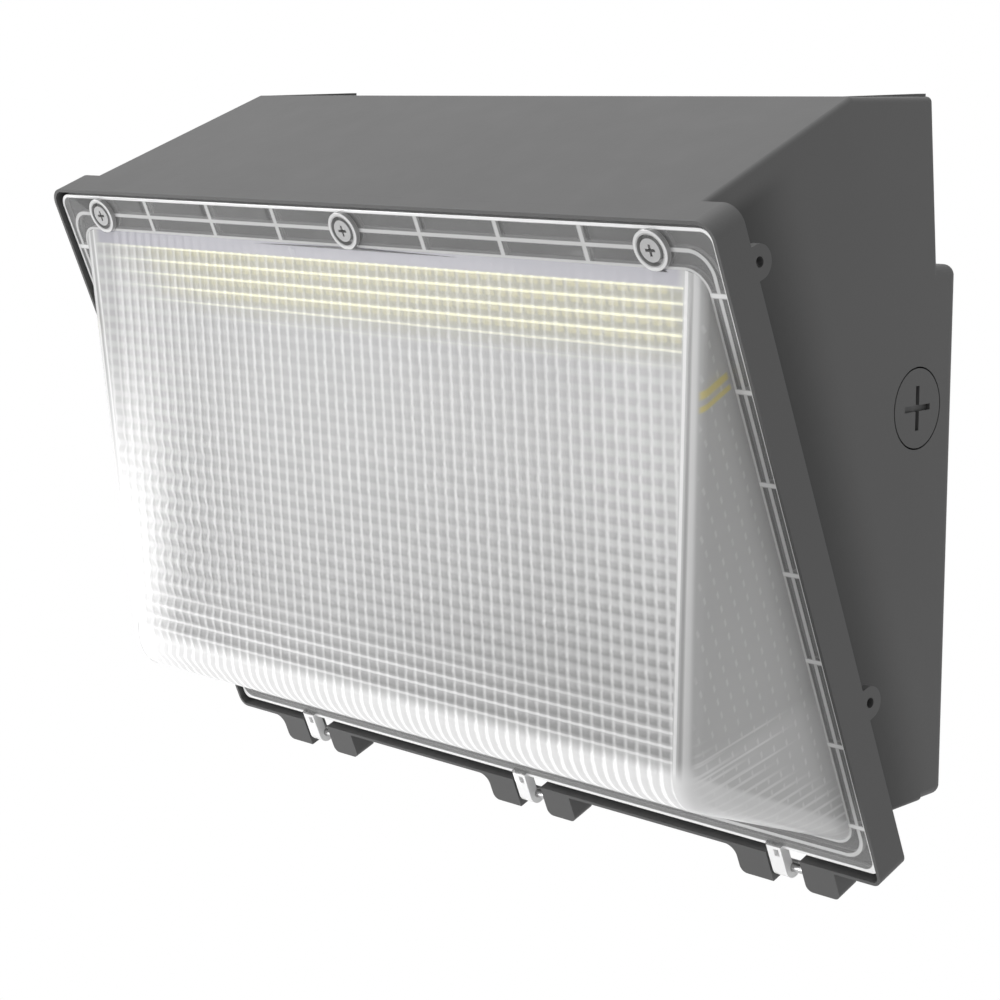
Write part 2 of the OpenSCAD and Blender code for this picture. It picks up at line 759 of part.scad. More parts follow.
module screw_clip(x) {
    color("black") on_rim() difference() {
        rim_rod(x, screw_down, clip_r, clip_n, clip_n + clip_t);
        rim_rod(x, screw_down, screw_r, clip_n - over, clip_n + clip_t + over);
    }
}

module tray() {
    color("white") on_rim() difference() {
        union() {
            slab(tray_n, seat_depth) panel(tray_half, tray_top, tray_low, rim_low_r, rim_low_r);
            slab(tray_n, tray_floor_n + tray_t)
                panel(pan_half, pan_top, pan_low, rim_low_r, rim_low_r);
        }
        slab(tray_n - over, tray_floor_n)
            panel(pan_half - tray_t, pan_top + tray_t, pan_low - tray_t, rim_low_r, rim_low_r);
        for (side = [-1, 1], s = [post_high_s, post_low_s])
            rim_rod(side * post_x, s, small_screw_r + gap, tray_floor_n - over,
                    tray_floor_n + tray_t + over);
        rim_rod(0, bush_s, bush_r, tray_floor_n - over, tray_floor_n + tray_t + over);
        for (x = board_screw_xs)
            rim_rod(x, service_s, small_screw_r + seat_fit, tray_floor_n - over,
                    tray_floor_n + tray_t + over);
    }
}

// A small pan head screw whose head lies on depth n, in the rim's frame
module small_screw(x, s, n, len) {
    difference() {
        union() {
            rim_rod(x, s, small_head_r, n - small_head_h, n);
            rim_rod(x, s, small_screw_r, n - small_head_h, n + len);
        }
        cross_recess(x, s, small_head_r, n - small_head_h);
    }
}

module tray_screws() {
    color("silver") on_rim() for (side = [-1, 1], s = [post_high_s, post_low_s])
        small_screw(side * post_x, s, tray_floor_n, small_screw_len);
}

// Light boards, their lamps and what holds them
board_n = tray_floor_n - board_t;
bush_bore_r = 2 * lead_r + seat_fit;
bush_r = bush_bore_r + board_t * half;
bush_flange_r = bush_r + board_t * half;
bush_s = board_down + board_h + bush_flange_r + gap;
board_w = pan_half - tray_t - board_side - board_gap * half;
board_end = board_gap * half + board_w;
// The screws and connectors stand in a row below the lamps
connector_w = 5;
connector_h = 7;
connector_t = 4;
connector_x = 9;
board_foot = 6.5;
service_s = board_down + board_h - board_foot;
board_screw_len = board_t + tray_t + small_screw_r;
board_screw_in = small_head_r + lamp_t;
board_mid_x = connector_x + connector_w + small_head_r;
board_end_x = board_end - board_screw_in;
board_screw_xs = [-board_end_x, -board_mid_x, board_mid_x, board_end_x];
// Rows of lamps run on from one board to the other at one pitch
lamp_edge = 3;
lamp_first_x = lamp_pitch * half;
lamp_first_s = board_down + lamp_edge;
lamp_count = floor((board_end - lamp_w - lamp_first_x) / lamp_pitch) + 1;

module light_board(side) {
    x0 = side > 0 ? board_gap * half : -board_gap * half - board_w;
    color([0.93, 0.93, 0.9]) on_rim() difference() {
        rim_box(x0, x0 + board_w, board_n, tray_floor_n, board_down, board_down + board_h);
        for (x = board_screw_xs)
            rim_rod(x, service_s, small_screw_r + seat_fit, board_n - over, tray_floor_n + over);
    }
}

module lamps(side) {
    color([1, 0.9, 0.35]) on_rim() for (row = [0:lamp_rows - 1], k = [0:lamp_count - 1]) {
        x = side * (lamp_first_x + k * lamp_pitch);
        s = lamp_first_s + row * lamp_row_pitch;
        rim_box(x - lamp_w * half, x + lamp_w * half, board_n - lamp_t, board_n,
                s - lamp_h * half, s + lamp_h * half);
    }
}

module board_connectors() {
    color([0.95, 0.95, 0.92]) on_rim() for (side = [-1, 1])
        rim_box(side * connector_x - connector_w * half, side * connector_x + connector_w * half,
                board_n - connector_t, board_n, service_s - connector_h * half,
                service_s + connector_h * half);
}

module board_screws() {
    color("silver") on_rim() for (x = board_screw_xs)
        small_screw(x, service_s, board_n, board_screw_len);
}

// Rubber bush that lines the tray's wire hole
module lead_bush() {
    color([0.12, 0.12, 0.12]) on_rim() difference() {
        union() {
            rim_rod(0, bush_s, bush_flange_r, tray_floor_n - board_t, tray_floor_n);
            rim_rod(0, bush_s, bush_r, tray_floor_n - board_t, tray_floor_n + tray_t + board_t);
        }
        rim_rod(0, bush_s, bush_bore_r, board_n - over, tray_floor_n + 2 * tray_t + over);
    }
}

// Unit vector, and a unit vector square to v and as near to u as can be
function unit(v) = v / norm(v);
function square_to(v, u) = unit(u - v * (u * v));

// A route whose corners are rounded by bends of the given reaches, in bend_steps pieces each
function bent_route(pts, reaches) = concat([pts[0]], [
    for (k = [1:len(pts) - 2])
        let (from = pts[k] + unit(pts[k - 1] - pts[k]) * reaches[k - 1],
             to = pts[k] + unit(pts[k + 1] - pts[k]) * reaches[k - 1])
            for (j = [0:bend_steps])
                let (t = j / bend_steps)
                    from * (1 - t) * (1 - t) + pts[k] * 2 * t * (1 - t) + to * t * t
], [pts[len(pts) - 1]]);

// Slides a ring of points along d until it lies in the plane through p square to n
function slid_ring(ring, d, p, n) = [for (q = ring) q + d * (((p - q) * n) / (d * n))];

// Rings of a wire along a route, each mitred between the two runs that meet there
function wire_rings(path, r) = let (
    last = len(path) - 1,
    d0 = unit(path[1] - path[0]),
    u = square_to(d0, abs(d0[2]) < 0.9 ? [0, 0, 1] : [0, 1, 0]),
    v = cross(d0, u),
    first = [for (j = [0:wire_sides - 1])
        path[0] + r * (cos(360 * j / wire_sides) * u + sin(360 * j / wire_sides) * v)]
) [for (k = 0, ring = first; k <= last; k = k + 1,
        ring = k > last ? ring : let (
            before = unit(path[k] - path[k - 1]),
            after = k < last ? unit(path[k + 1] - path[k]) : before
        ) slid_ring(ring, before, path[k], before + after)) ring];

// A wire of radius r along a route
module wire(pts, r, reaches) {
    rings = wire_rings(bent_route(pts, reaches), r);
    n = wire_sides;
    ends = (len(rings) - 1) * n;
    polyhedron(
        points = [for (ring = rings, q = ring) q],
        faces = concat(
            [for (j = [1:n - 2]) [0, j, j + 1]],
            [for (k = [0:len(rings) - 2], j = [0:n - 1])
                let (a = k * n + j, b = k * n + (j + 1) % n) each [[a, a + n, b], [b, a + n, b + n]]],
            [for (j = [1:n - 2]) [ends, ends + j + 1, ends + j]]
        )
    );
}

// Point of the rim's frame in the part's frame
function rim_xyz(x, n, s) = [x, rim_y(n, s), rim_z(n, s)];

// Earth post, wire caps and leads
wire_sides = 8;
bend_steps = 4;
tight_bend = 2 * lead_r;
wide_bend = 9 * lead_r;
earth_post_r = 4.5;
earth_stand = 5;
earth_x = 90;
earth_z = 24;
lug_plate_t = 1.2;
lug_barrel_r = lead_r + lug_plate_t * half;
lug_barrel_len = 8;
earth_y = -back_t - earth_stand - lug_barrel_r;
cap_r = 5.5;
cap_len = 17;
cap_xs = [-72, -50, 50];
cap_z = 42;
lead_y = -back_t - cap_r - gap;
// How far the leads swing out beside the driver's ends
lead_swing = 22;
driver_mid_y = -driver_back - driver_t * half;

// Each lead of the lamps runs from its connector through the bush to the driver's right end
module light_leads() {
    front_n = board_n - connector_t * half;
    drop_n = tray_floor_n + tray_t + board_t + 5 * lead_r;
    end_x = driver_w * half + cap_t;
    for (side = [-1, 1]) {
        out_x = side * (lead_r + seat_fit * half);
        end_z = -driver_down + side * driver_h * half * half;
        color(side > 0 ? "firebrick" : "dimgray") wire([
            rim_xyz(side * connector_x, front_n, service_s + connector_h * half),
            rim_xyz(side * connector_x, front_n, bush_s),
            rim_xyz(out_x, front_n, bush_s),
            rim_xyz(out_x, drop_n + (1 - side) * 2 * lead_r, bush_s),
            [end_x + lead_swing, driver_mid_y, end_z],
            [end_x, driver_mid_y, end_z]
        ], lead_r, [tight_bend, tight_bend, tight_bend, wide_bend]);
    }
}

// Supply leads leave the driver's left end, the lower one further out, and rise to their caps
module supply_lead(low, cap_x) {
    start_x = -driver_w * half - cap_t;
    start_z = -driver_down + (1 - 2 * low) * driver_h * half * half;
    out_x = start_x - lead_swing * half - cap_r - low * 6 * lead_r;
    turn_z = cap_z - cap_r - cap_len - (1 - low) * 4 * lead_r;
    wire([
        [start_x, driver_mid_y, start_z],
        [out_x, driver_mid_y, start_z],
        [out_x, lead_y, turn_z],
        [cap_x, lead_y, turn_z],
        [cap_x, lead_y, cap_z]
    ], lead_r, [wide_bend, tight_bend, tight_bend]);
}

module lead_live() {
    color([0.1, 0.1, 0.1]) supply_lead(0, cap_xs[1]);
}

module lead_neutral() {
    color([0.92, 0.92, 0.92]) supply_lead(1, cap_xs[0]);
}

module lead_earth() {
    start_x = earth_x - earth_post_r - lug_plate_t;
    color("seagreen") wire([
        [start_x, earth_y, earth_z],
        [cap_xs[2], earth_y, earth_z],
        [cap_xs[2], lead_y, cap_z - cap_r - tight_bend],
        [cap_xs[2], lead_y, cap_z]
    ], lead_r, [tight_bend, tight_bend]);
}

module wire_caps() {
    tip_r = cap_r * half;
    color([0.85, 0.35, 0.1]) for (x = cap_xs)
        translate([x, lead_y, cap_z]) difference() {
            rotate_extrude() polygon([
                [0, -cap_r], [cap_r, -cap_r], [cap_r, cap_r], [tip_r, cap_len], [0, cap_len]
            ]);
            translate([0, 0, -cap_r - over]) cylinder(r = lead_r + seat_fit, h = cap_r + over);
        }
}

module earth_lug() {
    barrel_x = earth_x - earth_post_r - lug_barrel_len;
    color([0.8, 0.7, 0.4]) difference() {
        union() {
            wall_rod(earth_x, earth_z, earth_post_r, back_t + earth_stand,
                     back_t + earth_stand + lug_plate_t);
            translate([barrel_x, earth_y, earth_z]) rotate([0, 90, 0])
                cylinder(r = lug_barrel_r, h = lug_barrel_len + lug_plate_t);
        }
        wall_rod(earth_x, earth_z, small_screw_r + seat_fit, back_t,
                 back_t + earth_stand + 2 * lug_plate_t);
        translate([barrel_x - over, earth_y, earth_z]) rotate([0, 90, 0])
            cylinder(r = lead_r + seat_fit, h = lug_barrel_len - lug_plate_t + over);
    }
}

// A small screw square to the wall, its head lying at distance d from it
module wall_screw(x, z, d, len) {
    wall_rod(x, z, small_head_r, d, d + small_head_h);
    wall_rod(x, z, small_screw_r, d - len, d);
}

module earth_screw() {
    color([0.15, 0.5, 0.2])
        wall_screw(earth_x, earth_z, back_t + earth_stand + lug_plate_t,
                   earth_stand + lug_plate_t);
}

module driver_case() {
    corner_r = wall_t;
    low_y = -driver_back - driver_t;
    color([0.8, 0.81, 0.82])
        translate([-driver_w * half, low_y + driver_t * half, -driver_down])
            rotate([90, 0, 90]) linear_extrude(height = driver_w)
                translate([0, driver_h * half])
                    panel(driver_t * half, 0, driver_h, corner_r, corner_r);
}

// End cap of the driver with the foot that is screwed to the housing
module driver_cap(side) {
    foot_r = small_head_r + wall_t * half;
    color([0.2, 0.2, 0.22]) mirror([side > 0 ? 0 : 1, 0, 0]) difference() {
        union() {
            translate([driver_w * half, -driver_back - driver_t, -driver_down - driver_h * half])
                cube([cap_t, driver_t, driver_h]);
            translate([driver_w * half, -driver_back - foot_t, -driver_down - foot_r])
                cube([cap_t + foot_len, foot_t, 2 * foot_r]);
        }
        wall_rod(driver_foot_x, -driver_down, small_screw_r + seat_fit, driver_back - over,
                 driver_back + foot_t + over);
    }
}

module driver_screws() {
    color("silver") for (side = [-1, 1])
        wall_screw(side * driver_foot_x, -driver_down, driver_back + foot_t,
                   foot_t + driver_stand);
}

module plug(side) {
    color([0.36, 0.36, 0.37]) on_side(side) difference() {
        union() {
            side_rod(plug_head_r, -plug_head_t, 0);
            side_rod(plug_r, -plug_head_t - plug_ring_t - plug_len, -plug_head_t);
        }
        for (turn = [0, 90]) rotate([turn, 0, 0])
            translate([-plug_slot_depth, -plug_slot_len * half, -plug_slot_w * half])
                cube([plug_slot_depth + over, plug_slot_len, plug_slot_w]);
    }
}

// Sealing ring under a plug's head
module plug_ring(side) {
    color([0.1, 0.1, 0.1]) on_side(side) difference() {
        side_rod(plug_head_r - gap, -plug_head_t - plug_ring_t, -plug_head_t);
        side_rod(plug_r + seat_fit, -plug_head_t - plug_ring_t - over, over);
    }
}

module wall_grommet() {
    color([0.1, 0.1, 0.1]) difference() {
        union() {
            wall_rod(0, 0, grommet_r, 0, back_t);
            wall_rod(0, 0, grommet_flange_r, back_t, back_t + grommet_flange_t);
        }
        wall_rod(0, 0, cable_r, -over, back_t + grommet_flange_t + over);
    }
}

module wall_seal() {
    color([0.2, 0.2, 0.21]) seal_band(0, wall_seal_t);
}

housing();
lens();
lens_gasket();
hinge_pin(hinge_xs[0]);  // hinge_pin_left
hinge_pin(hinge_xs[1]);  // hinge_pin_middle
hinge_pin(hinge_xs[2]);  // hinge_pin_right
lens_screw(screw_xs[0]);  // lens_screw_left
lens_screw(screw_xs[1]);  // lens_screw_middle
lens_screw(screw_xs[2]);  // lens_screw_right
screw_clip(screw_xs[0]);  // screw_clip_left
screw_clip(screw_xs[1]);  // screw_clip_middle
screw_clip(screw_xs[2]);  // screw_clip_right
tray();
tray_screws();
light_board(-1);  // light_board_left
light_board(1);  // light_board_right
lamps(-1);  // lamps_left
lamps(1);  // lamps_right
board_connectors();
board_screws();
lead_bush();
light_leads();
driver_case();
driver_cap(-1);  // driver_cap_left
driver_cap(1);  // driver_cap_right
driver_screws();
lead_live();
lead_neutral();
lead_earth();
wire_caps();
earth_screw();
earth_lug();
plug(-1);  // plug_left
plug(1);  // plug_right
plug_ring(-1);  // plug_ring_left
plug_ring(1);  // plug_ring_right
wall_grommet();
wall_seal();
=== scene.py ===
# %% [markdown]
# # Wall pack light
# A wall pack is an outdoor light for the outside wall of a building. A painted metal
# casting stands on the wall, and a clear ribbed cover closes its sloping front. The
# exact pieces come from the CAD model, in metres: X runs across the wall, the wall is
# the plane y = 0, and Z is up. This notebook gives each piece its finish, makes the
# cover's optical skin, and sets up the studio.

# %% Load the exact pieces
import math
import bmesh
import bpy
import numpy as np
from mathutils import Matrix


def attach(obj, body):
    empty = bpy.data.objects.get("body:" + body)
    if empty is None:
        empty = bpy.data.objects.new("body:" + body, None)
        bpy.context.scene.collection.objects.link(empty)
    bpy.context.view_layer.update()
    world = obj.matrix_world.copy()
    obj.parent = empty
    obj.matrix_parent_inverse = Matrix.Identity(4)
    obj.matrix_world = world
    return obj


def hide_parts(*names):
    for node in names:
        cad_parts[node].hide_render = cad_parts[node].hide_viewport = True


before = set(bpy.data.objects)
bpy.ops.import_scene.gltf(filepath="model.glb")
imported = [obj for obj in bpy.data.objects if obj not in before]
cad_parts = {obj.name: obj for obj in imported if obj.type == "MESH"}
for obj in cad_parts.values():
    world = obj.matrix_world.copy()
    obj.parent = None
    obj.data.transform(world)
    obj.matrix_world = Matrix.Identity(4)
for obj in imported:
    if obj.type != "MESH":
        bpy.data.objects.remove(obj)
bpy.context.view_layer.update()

# %% [markdown]
# ## The rim's own directions
# The front of the light leans forward, so its sloping pieces are easier to describe in
# the rim's own directions: x across, n from the rim's front face back into the
# housing, and s down the slope from the rim's top edge. One function turns such
# points into Blender's metres, for whole arrays at once, and another goes back.

# %% Points of the sloping rim
TILT = math.radians(22)
RIM_REACH, RIM_TOP, RIM_HEIGHT = 162.0, 120.0, 252.0


def from_rim(x, n, s):
    """Rim directions in mm to points in metres.

    y = n cos(tilt) + s sin(tilt) - reach
    z = n sin(tilt) - s cos(tilt) + top
    """
    x, n, s = np.broadcast_arrays(x, n, s)
    y = n * math.cos(TILT) + s * math.sin(TILT) - RIM_REACH
    z = n * math.sin(TILT) - s * math.cos(TILT) + RIM_TOP
    return np.stack([x, y, z], axis=-1) / 1000


def to_rim(points):
    """Points in metres to rim directions in mm, with y and z taken from the rim's top edge.

    n = y cos(tilt) + z sin(tilt)
    s = y sin(tilt) - z cos(tilt)
    """
    x, y, z = (np.asarray(points) * 1000).T
    y, z = y + RIM_REACH, z - RIM_TOP
    return (x, y * math.cos(TILT) + z * math.sin(TILT),
            y * math.sin(TILT) - z * math.cos(TILT))


print("the rim's lower edge is at",
      np.round(from_rim(0, 0, RIM_HEIGHT) * 1000, 1).tolist(), "mm")

# %% [markdown]
# ## Shader maths as Python expressions
# A procedural finish is a small calculation on the place of each point. Wiring Math
# nodes by hand hides that calculation, so one small class wraps a socket and turns
# +, -, * and / into Math nodes. A mask is a value from 0 to 1 that says where
# something is: it rises, falls, or stands out as a bar or as evenly spaced ribs.

# %% Values and masks
def link_or_set(tree, target, value):
    if isinstance(value, Value):
        tree.links.new(value.socket, target)
    else:
        target.default_value = value


class Value:
    """A socket's output, on which Python's operators add Math nodes."""

    def __init__(self, finish, socket):
        self.finish, self.socket = finish, socket

    def math(self, operation, *others):
        """One Math node whose first input is this value."""
        return self.finish.node("ShaderNodeMath", {"operation": operation},
                                dict(enumerate((self, *others))))

    def __add__(self, other): return self.math("ADD", other)
    def __radd__(self, other): return self.math("ADD", other)
    def __sub__(self, other): return self.math("SUBTRACT", other)
    def __rsub__(self, other): return self.math("MULTIPLY", -1.0).math("ADD", other)
    def __mul__(self, other): return self.math("MULTIPLY", other)
    def __rmul__(self, other): return self.math("MULTIPLY", other)
    def __truediv__(self, other): return self.math("DIVIDE", other)

    def either(self, other):
        """The larger of two masks."""
        return self.math("MAXIMUM", other)

    def rise(self, low, high):
        """0 below low, 1 above high, and a smooth rise between them."""
        return self.finish.node("ShaderNodeMapRange", {"interpolation_type": "SMOOTHSTEP"},
                                {"Value": self, "From Min": low, "From Max": high})

    def fall(self, low, high):
        """1 below low, 0 above high: fall = 1 - rise."""
        return 1.0 - self.rise(low, high)

    def bar(self, middle, width, soft):
        """1 within width / 2 of the middle, falling to 0 over the soft distance."""
        return (self - middle).math("ABSOLUTE").fall(width / 2, width / 2 + soft)

    def ribs(self, first, step, full, none):
        """1 within full of first, first + step and so on, and 0 further off than none.

        A ping-pong wave of scale step / 2 has its peaks a step apart.
        """
        wave = (self + (step / 2 - first)).math("PINGPONG", step / 2)
        return wave.rise(step / 2 - none, step / 2 - full)


print("masks: rise, fall, bar, ribs")

# %% [markdown]
# ## One class for a material
# A second class holds one material. Its constants go straight onto the shader's own
# sockets. One method makes any node: the settings first, then the values or links of
# its sockets. The others are short names for what most finishes need: the place of the
# point, noise, a blend of two colours, and bumps.

# %% Finishes
class Finish:
    """One material with its own shader."""

    def __init__(self, name, **constants):
        self.material = bpy.data.materials.new(name)
        self.material.use_nodes = True
        self.tree = self.material.node_tree
        self.shader = self.tree.nodes["Principled BSDF"]
        for socket, value in constants.items():
            self.shader.inputs[socket.replace("_", " ")].default_value = value

    def node(self, kind, settings=None, values=None, out=0):
        """Any node, as the value of one of its outputs."""
        made = self.tree.nodes.new(kind)
        for name, setting in (settings or {}).items():
            setattr(made, name, setting)
        for name, value in (values or {}).items():
            link_or_set(self.tree, made.inputs[name], value)
        return Value(self, made.outputs[out])

    def place(self):
        """Object coordinates in metres, as one vector."""
        return self.node("ShaderNodeTexCoord", out="Object")

    def rim_axes(self):
        """x, n and s of the point in mm, by the same formulas as to_rim."""
        split = self.node("ShaderNodeSeparateXYZ", values={"Vector": self.place()})
        x, y, z = [Value(self, out) * 1000.0 for out in split.socket.node.outputs]
        y, z = y + RIM_REACH, z - RIM_TOP
        return (x, y * math.cos(TILT) + z * math.sin(TILT),
                y * math.sin(TILT) - z * math.cos(TILT))

    def noise(self, scale, detail=2.0, roughness=0.5, stretch=None):
        """Noise from 0 to 1, with about scale lumps in a metre."""
        place = self.place()
        if stretch:
            place = self.node("ShaderNodeMapping", values={"Vector": place, "Scale": stretch})
        return self.node("ShaderNodeTexNoise", values={
            "Vector": place, "Scale": scale, "Detail": detail, "Roughness": roughness})

    def blend(self, factor, low, high):
        """Colour low where the factor is 0, colour high where it is 1."""
        mixed = self.node("ShaderNodeMix", {"data_type": "RGBA"}, {0: factor}, out=2)
        for index, colour in ((6, low), (7, high)):
            if not isinstance(colour, Value):
                colour = (*colour, 1.0)
            link_or_set(self.tree, mixed.socket.node.inputs[index], colour)
        return mixed

    def feed(self, **sockets):
        """Links values that change over the surface to the shader."""
        for name, value in sockets.items():
            link_or_set(self.tree, self.shader.inputs[name.replace("_", " ")], value)
        return self

    def bump(self, height, depth_mm, strength=1.0):
        """Bumps of the given depth, from a height between 0 and 1."""
        return self.feed(Normal=self.node("ShaderNodeBump", values={
            "Height": height, "Distance": depth_mm / 1000, "Strength": strength}))


def grey(value):
    """The linear colour of a screen grey: v = ((g / 255 + 0.055) / 1.055) ^ 2.4."""
    v = value / 255
    v = ((v + 0.055) / 1.055) ** 2.4 if v > 0.04045 else v / 12.92
    return (v, v, v)


def scaled(colour, factor):
    return [min(c * factor, 1) for c in colour]


print("a screen grey of 128 is", round(grey(128)[0], 3), "in linear light")

# %% [markdown]
# ## Powder coat on the casting
# The housing is cast aluminium with a dark grey powder coat. Powder flows as it bakes,
# and leaves a fine orange peel, with slightly duller and brighter patches. Noise of
# about 700 lumps a metre gives the peel as bumps, and two slower noises vary the
# colour and the gloss. A little pale dust lies where a surface faces up, and the side
# walls are darker just behind the wider rim, where it shades them.

# %% Powder coat
def shade_behind_rim(coat):
    """1 on the side walls close behind the rim, falling to 0 about 36 mm further back."""
    x, n, s = coat.rim_axes()
    on_wall = n.rise(14.7, 15.2) * x.math("ABSOLUTE").fall(174.0, 175.0)
    return (n - s * 0.02).fall(28.0, 64.0) * on_wall * s.rise(4.0, 12.0)


def powder_coat(name, colour, dust):
    coat = Finish(name, IOR=1.45)
    slow, fine = coat.noise(9.0, 3.0), coat.noise(240.0, 2.0)
    light = [c * 1.06 + 0.002 for c in colour]
    paint = coat.blend(slow * 0.6 + fine * 0.4, scaled(colour, 0.93), light)
    paint = coat.blend(shade_behind_rim(coat) * 0.9, paint, scaled(colour, 0.12))
    facing = coat.node("ShaderNodeNewGeometry", out="Normal")
    up = coat.node("ShaderNodeSeparateXYZ", values={"Vector": facing}, out="Z")
    settled = up.rise(0.55, 1.0) * coat.noise(60.0, 5.0, 0.65).rise(0.4, 0.75) * dust
    paint = coat.blend(settled, paint, grey(150))
    coat.feed(Base_Color=paint, Roughness=slow * 0.14 + fine * 0.06 + 0.42)
    return coat.bump(coat.noise(700.0, 2.0, 0.45), 0.05, 0.5)


casting_coat = powder_coat("dark powder coat", grey(82), dust=0.04)
print("made", casting_coat.material.name)

# %% [markdown]
# ## Enamel, plating, rubber and plastic
# The tray behind the cover is sheet steel with white enamel. Hinge pins and the inner
# screws are zinc plated or drawn steel: fine streaks vary their gloss. Rubber is nearly
# black, dull, and faintly speckled from its mould. Moulded plastic has a fine grain.
# Each function below makes one such family from a name and a colour.

# %% Families of finishes
def enamel(name, colour):
    paint = Finish(name, IOR=1.5, Coat_Weight=0.25, Coat_Roughness=0.15)
    cloud = paint.noise(14.0, 3.0)
    paint.feed(Base_Color=paint.blend(cloud, scaled(colour, 0.95), colour),
               Roughness=cloud * 0.1 + 0.32)
    return paint.bump(paint.noise(500.0), 0.03, 0.4)


def plated(name, colour, stretch=(1, 1, 1)):
    """Bare or plated metal, whose streaks run along the axis with a small stretch."""
    metal = Finish(name, Metallic=1.0)
    streak = metal.noise(900.0, 3.0, 0.6, stretch=stretch)
    metal.feed(Base_Color=metal.blend(streak, scaled(colour, 0.8), colour),
               Roughness=streak * 0.2 + 0.22)
    return metal.bump(streak, 0.01, 0.4)


def rubber(name, colour):
    soft = Finish(name, IOR=1.5, Specular_IOR_Level=0.35)
    speck = soft.noise(420.0, 4.0, 0.6)
    soft.feed(Base_Color=soft.blend(speck, scaled(colour, 0.7), scaled(colour, 1.3)),
              Roughness=speck * 0.15 + 0.62)
    return soft.bump(speck, 0.04, 0.5)


def moulded(name, colour, gloss=0.36):
    plastic = Finish(name, IOR=1.49)
    cloud, fine = plastic.noise(40.0), plastic.noise(300.0)
    plastic.feed(Base_Color=plastic.blend(cloud, scaled(colour, 0.9), scaled(colour, 1.06)),
                 Roughness=fine * 0.12 + gloss)
    return plastic.bump(fine, 0.02, 0.5)


tray_enamel = enamel("white enamel", grey(236))
screw_grey = enamel("grey lacquered screw", grey(178))
zinc = plated("zinc plating", (0.7, 0.7, 0.69))
pin_steel = plated("drawn steel", (0.55, 0.55, 0.55), stretch=(0.05, 1, 1))
black_rubber = rubber("black rubber", grey(38))
clip_grey = moulded("grey nylon clip", grey(196), 0.5)
print("finishes:", [f.material.name for f in
                    (tray_enamel, screw_grey, zinc, pin_steel, black_rubber, clip_grey)])

# %% [markdown]
# ## Boards, lamps and wiring
# The lamps are small surface-mounted chips: a white frame round a square of yellow
# phosphor. The board under them is white solder resist, in which the copper tracks
# stand out a little. Behind the tray are the driver, its leads and their screw-on caps.

# %% Board, lamp and wiring finishes
board_white = Finish("white solder resist", IOR=1.5, Coat_Weight=0.4, Coat_Roughness=0.12)
x, _, s = board_white.rim_axes()
tracks = s.ribs(3.0, 6.0, 1.6, 2.1) * x.ribs(4.0, 8.0, 3.1, 3.5)
board_white.feed(Base_Color=board_white.blend(tracks, grey(222), grey(240)),
                 Roughness=tracks * 0.1 + 0.3)
board_white.bump(tracks, 0.035, 0.6)

lamp_chip = Finish("yellow phosphor chip", Emission_Strength=0.8)
cloud = lamp_chip.noise(600.0)
phosphor = lamp_chip.blend(cloud, (0.93, 0.80, 0.22), (1.0, 0.92, 0.42))
lamp_chip.feed(Base_Color=phosphor, Emission_Color=phosphor, Roughness=cloud * 0.2 + 0.3)

connector_plastic = moulded("natural nylon", grey(226), 0.45)
red_sleeve = moulded("red lead sleeve", (0.42, 0.03, 0.025))
black_sleeve = moulded("black lead sleeve", (0.02, 0.02, 0.02))
white_sleeve = moulded("white lead sleeve", grey(226))
green_sleeve = moulded("green lead sleeve", (0.03, 0.24, 0.06))
cap_black = moulded("black driver cap", (0.035, 0.035, 0.038), 0.5)
cap_orange = moulded("orange wire cap", (0.68, 0.15, 0.02), 0.42)
screw_green = enamel("green earth paint", (0.02, 0.2, 0.04))
driver_shell = plated("brushed driver shell", (0.62, 0.63, 0.64), stretch=(0.04, 1, 1))
lug_brass = plated("tinned brass", (0.72, 0.58, 0.3))
print("materials so far:", len(bpy.data.materials))

# %% [markdown]
# ## Loops round the flange
# The cover's flat flange carries an outer edge, a rib that runs round it and the root
# of the bulge, all three loops with round corners. The distance from such a loop gives
# each of them as a thin bar. The sizes are those of the CAD model, in mm.

# %% Distance from a rounded loop
BULGE_HALF, BULGE_TOP, BULGE_LOW, ROOT_R = 170.2, 18.2, 237.4, 8.0
FLANGE_HALF, FLANGE_TOP, FLANGE_LOW, FLANGE_R = 178.2, 3.2, 248.4, 5.7
LOOP_HALF, LOOP_TOP, LOOP_LOW, LOOP_R = 174.2, 11.2, 242.9, 9.0


def loop_distance(across, s, half, top, low, radius):
    """Distance in mm outside a loop with round corners, negative inside it.

    Outside: the length of (over_x, over_s), which are the distances past the corner's
    centre, less the radius. Inside: the larger of them, less the radius.
    """
    over_x = across - (half - radius)
    over_s = (s - (top + low) / 2).math("ABSOLUTE") - ((low - top) / 2 - radius)
    near_x, near_s = over_x.math("MAXIMUM", 0.0), over_s.math("MAXIMUM", 0.0)
    return ((near_x * near_x + near_s * near_s).math("SQRT")
            + over_x.math("MAXIMUM", over_s).math("MINIMUM", 0.0) - radius)


print("the flange is", 2 * FLANGE_HALF, "by", round(FLANGE_LOW - FLANGE_TOP, 1), "mm")

# %% [markdown]
# ## Clear plastic of the flange
# The cover is injection moulded in clear polycarbonate. Real refraction in a thin
# ribbed shell costs much light and time, and a viewer of the exported model may not
# show it, so the clear plastic is see-through by its alpha: thin walls let about half
# of the light pass, and edges, ribs and bosses, where one looks through more plastic,
# let less pass and carry a painted white highlight. Each top rib has a painted darker
# line of shade beside it, where it hides the light.

# %% Flange material
BOSS_X, BOSS_S = 151.0, 11.2
TOP_RIB_STEP, SIDE_RIB_STEP, FIRST_SIDE_RIB = 40.0, 33.8, 26.4

flange_clear = Finish("clear moulded flange", IOR=1.58)
x, _, s = flange_clear.rim_axes()
across = x.math("ABSOLUTE")
edge = loop_distance(across, s, FLANGE_HALF, FLANGE_TOP, FLANGE_LOW, FLANGE_R).rise(-1.5, -1.0)
root = loop_distance(across, s, BULGE_HALF, BULGE_TOP, BULGE_LOW, ROOT_R).bar(0.5, 0.7, 0.4)
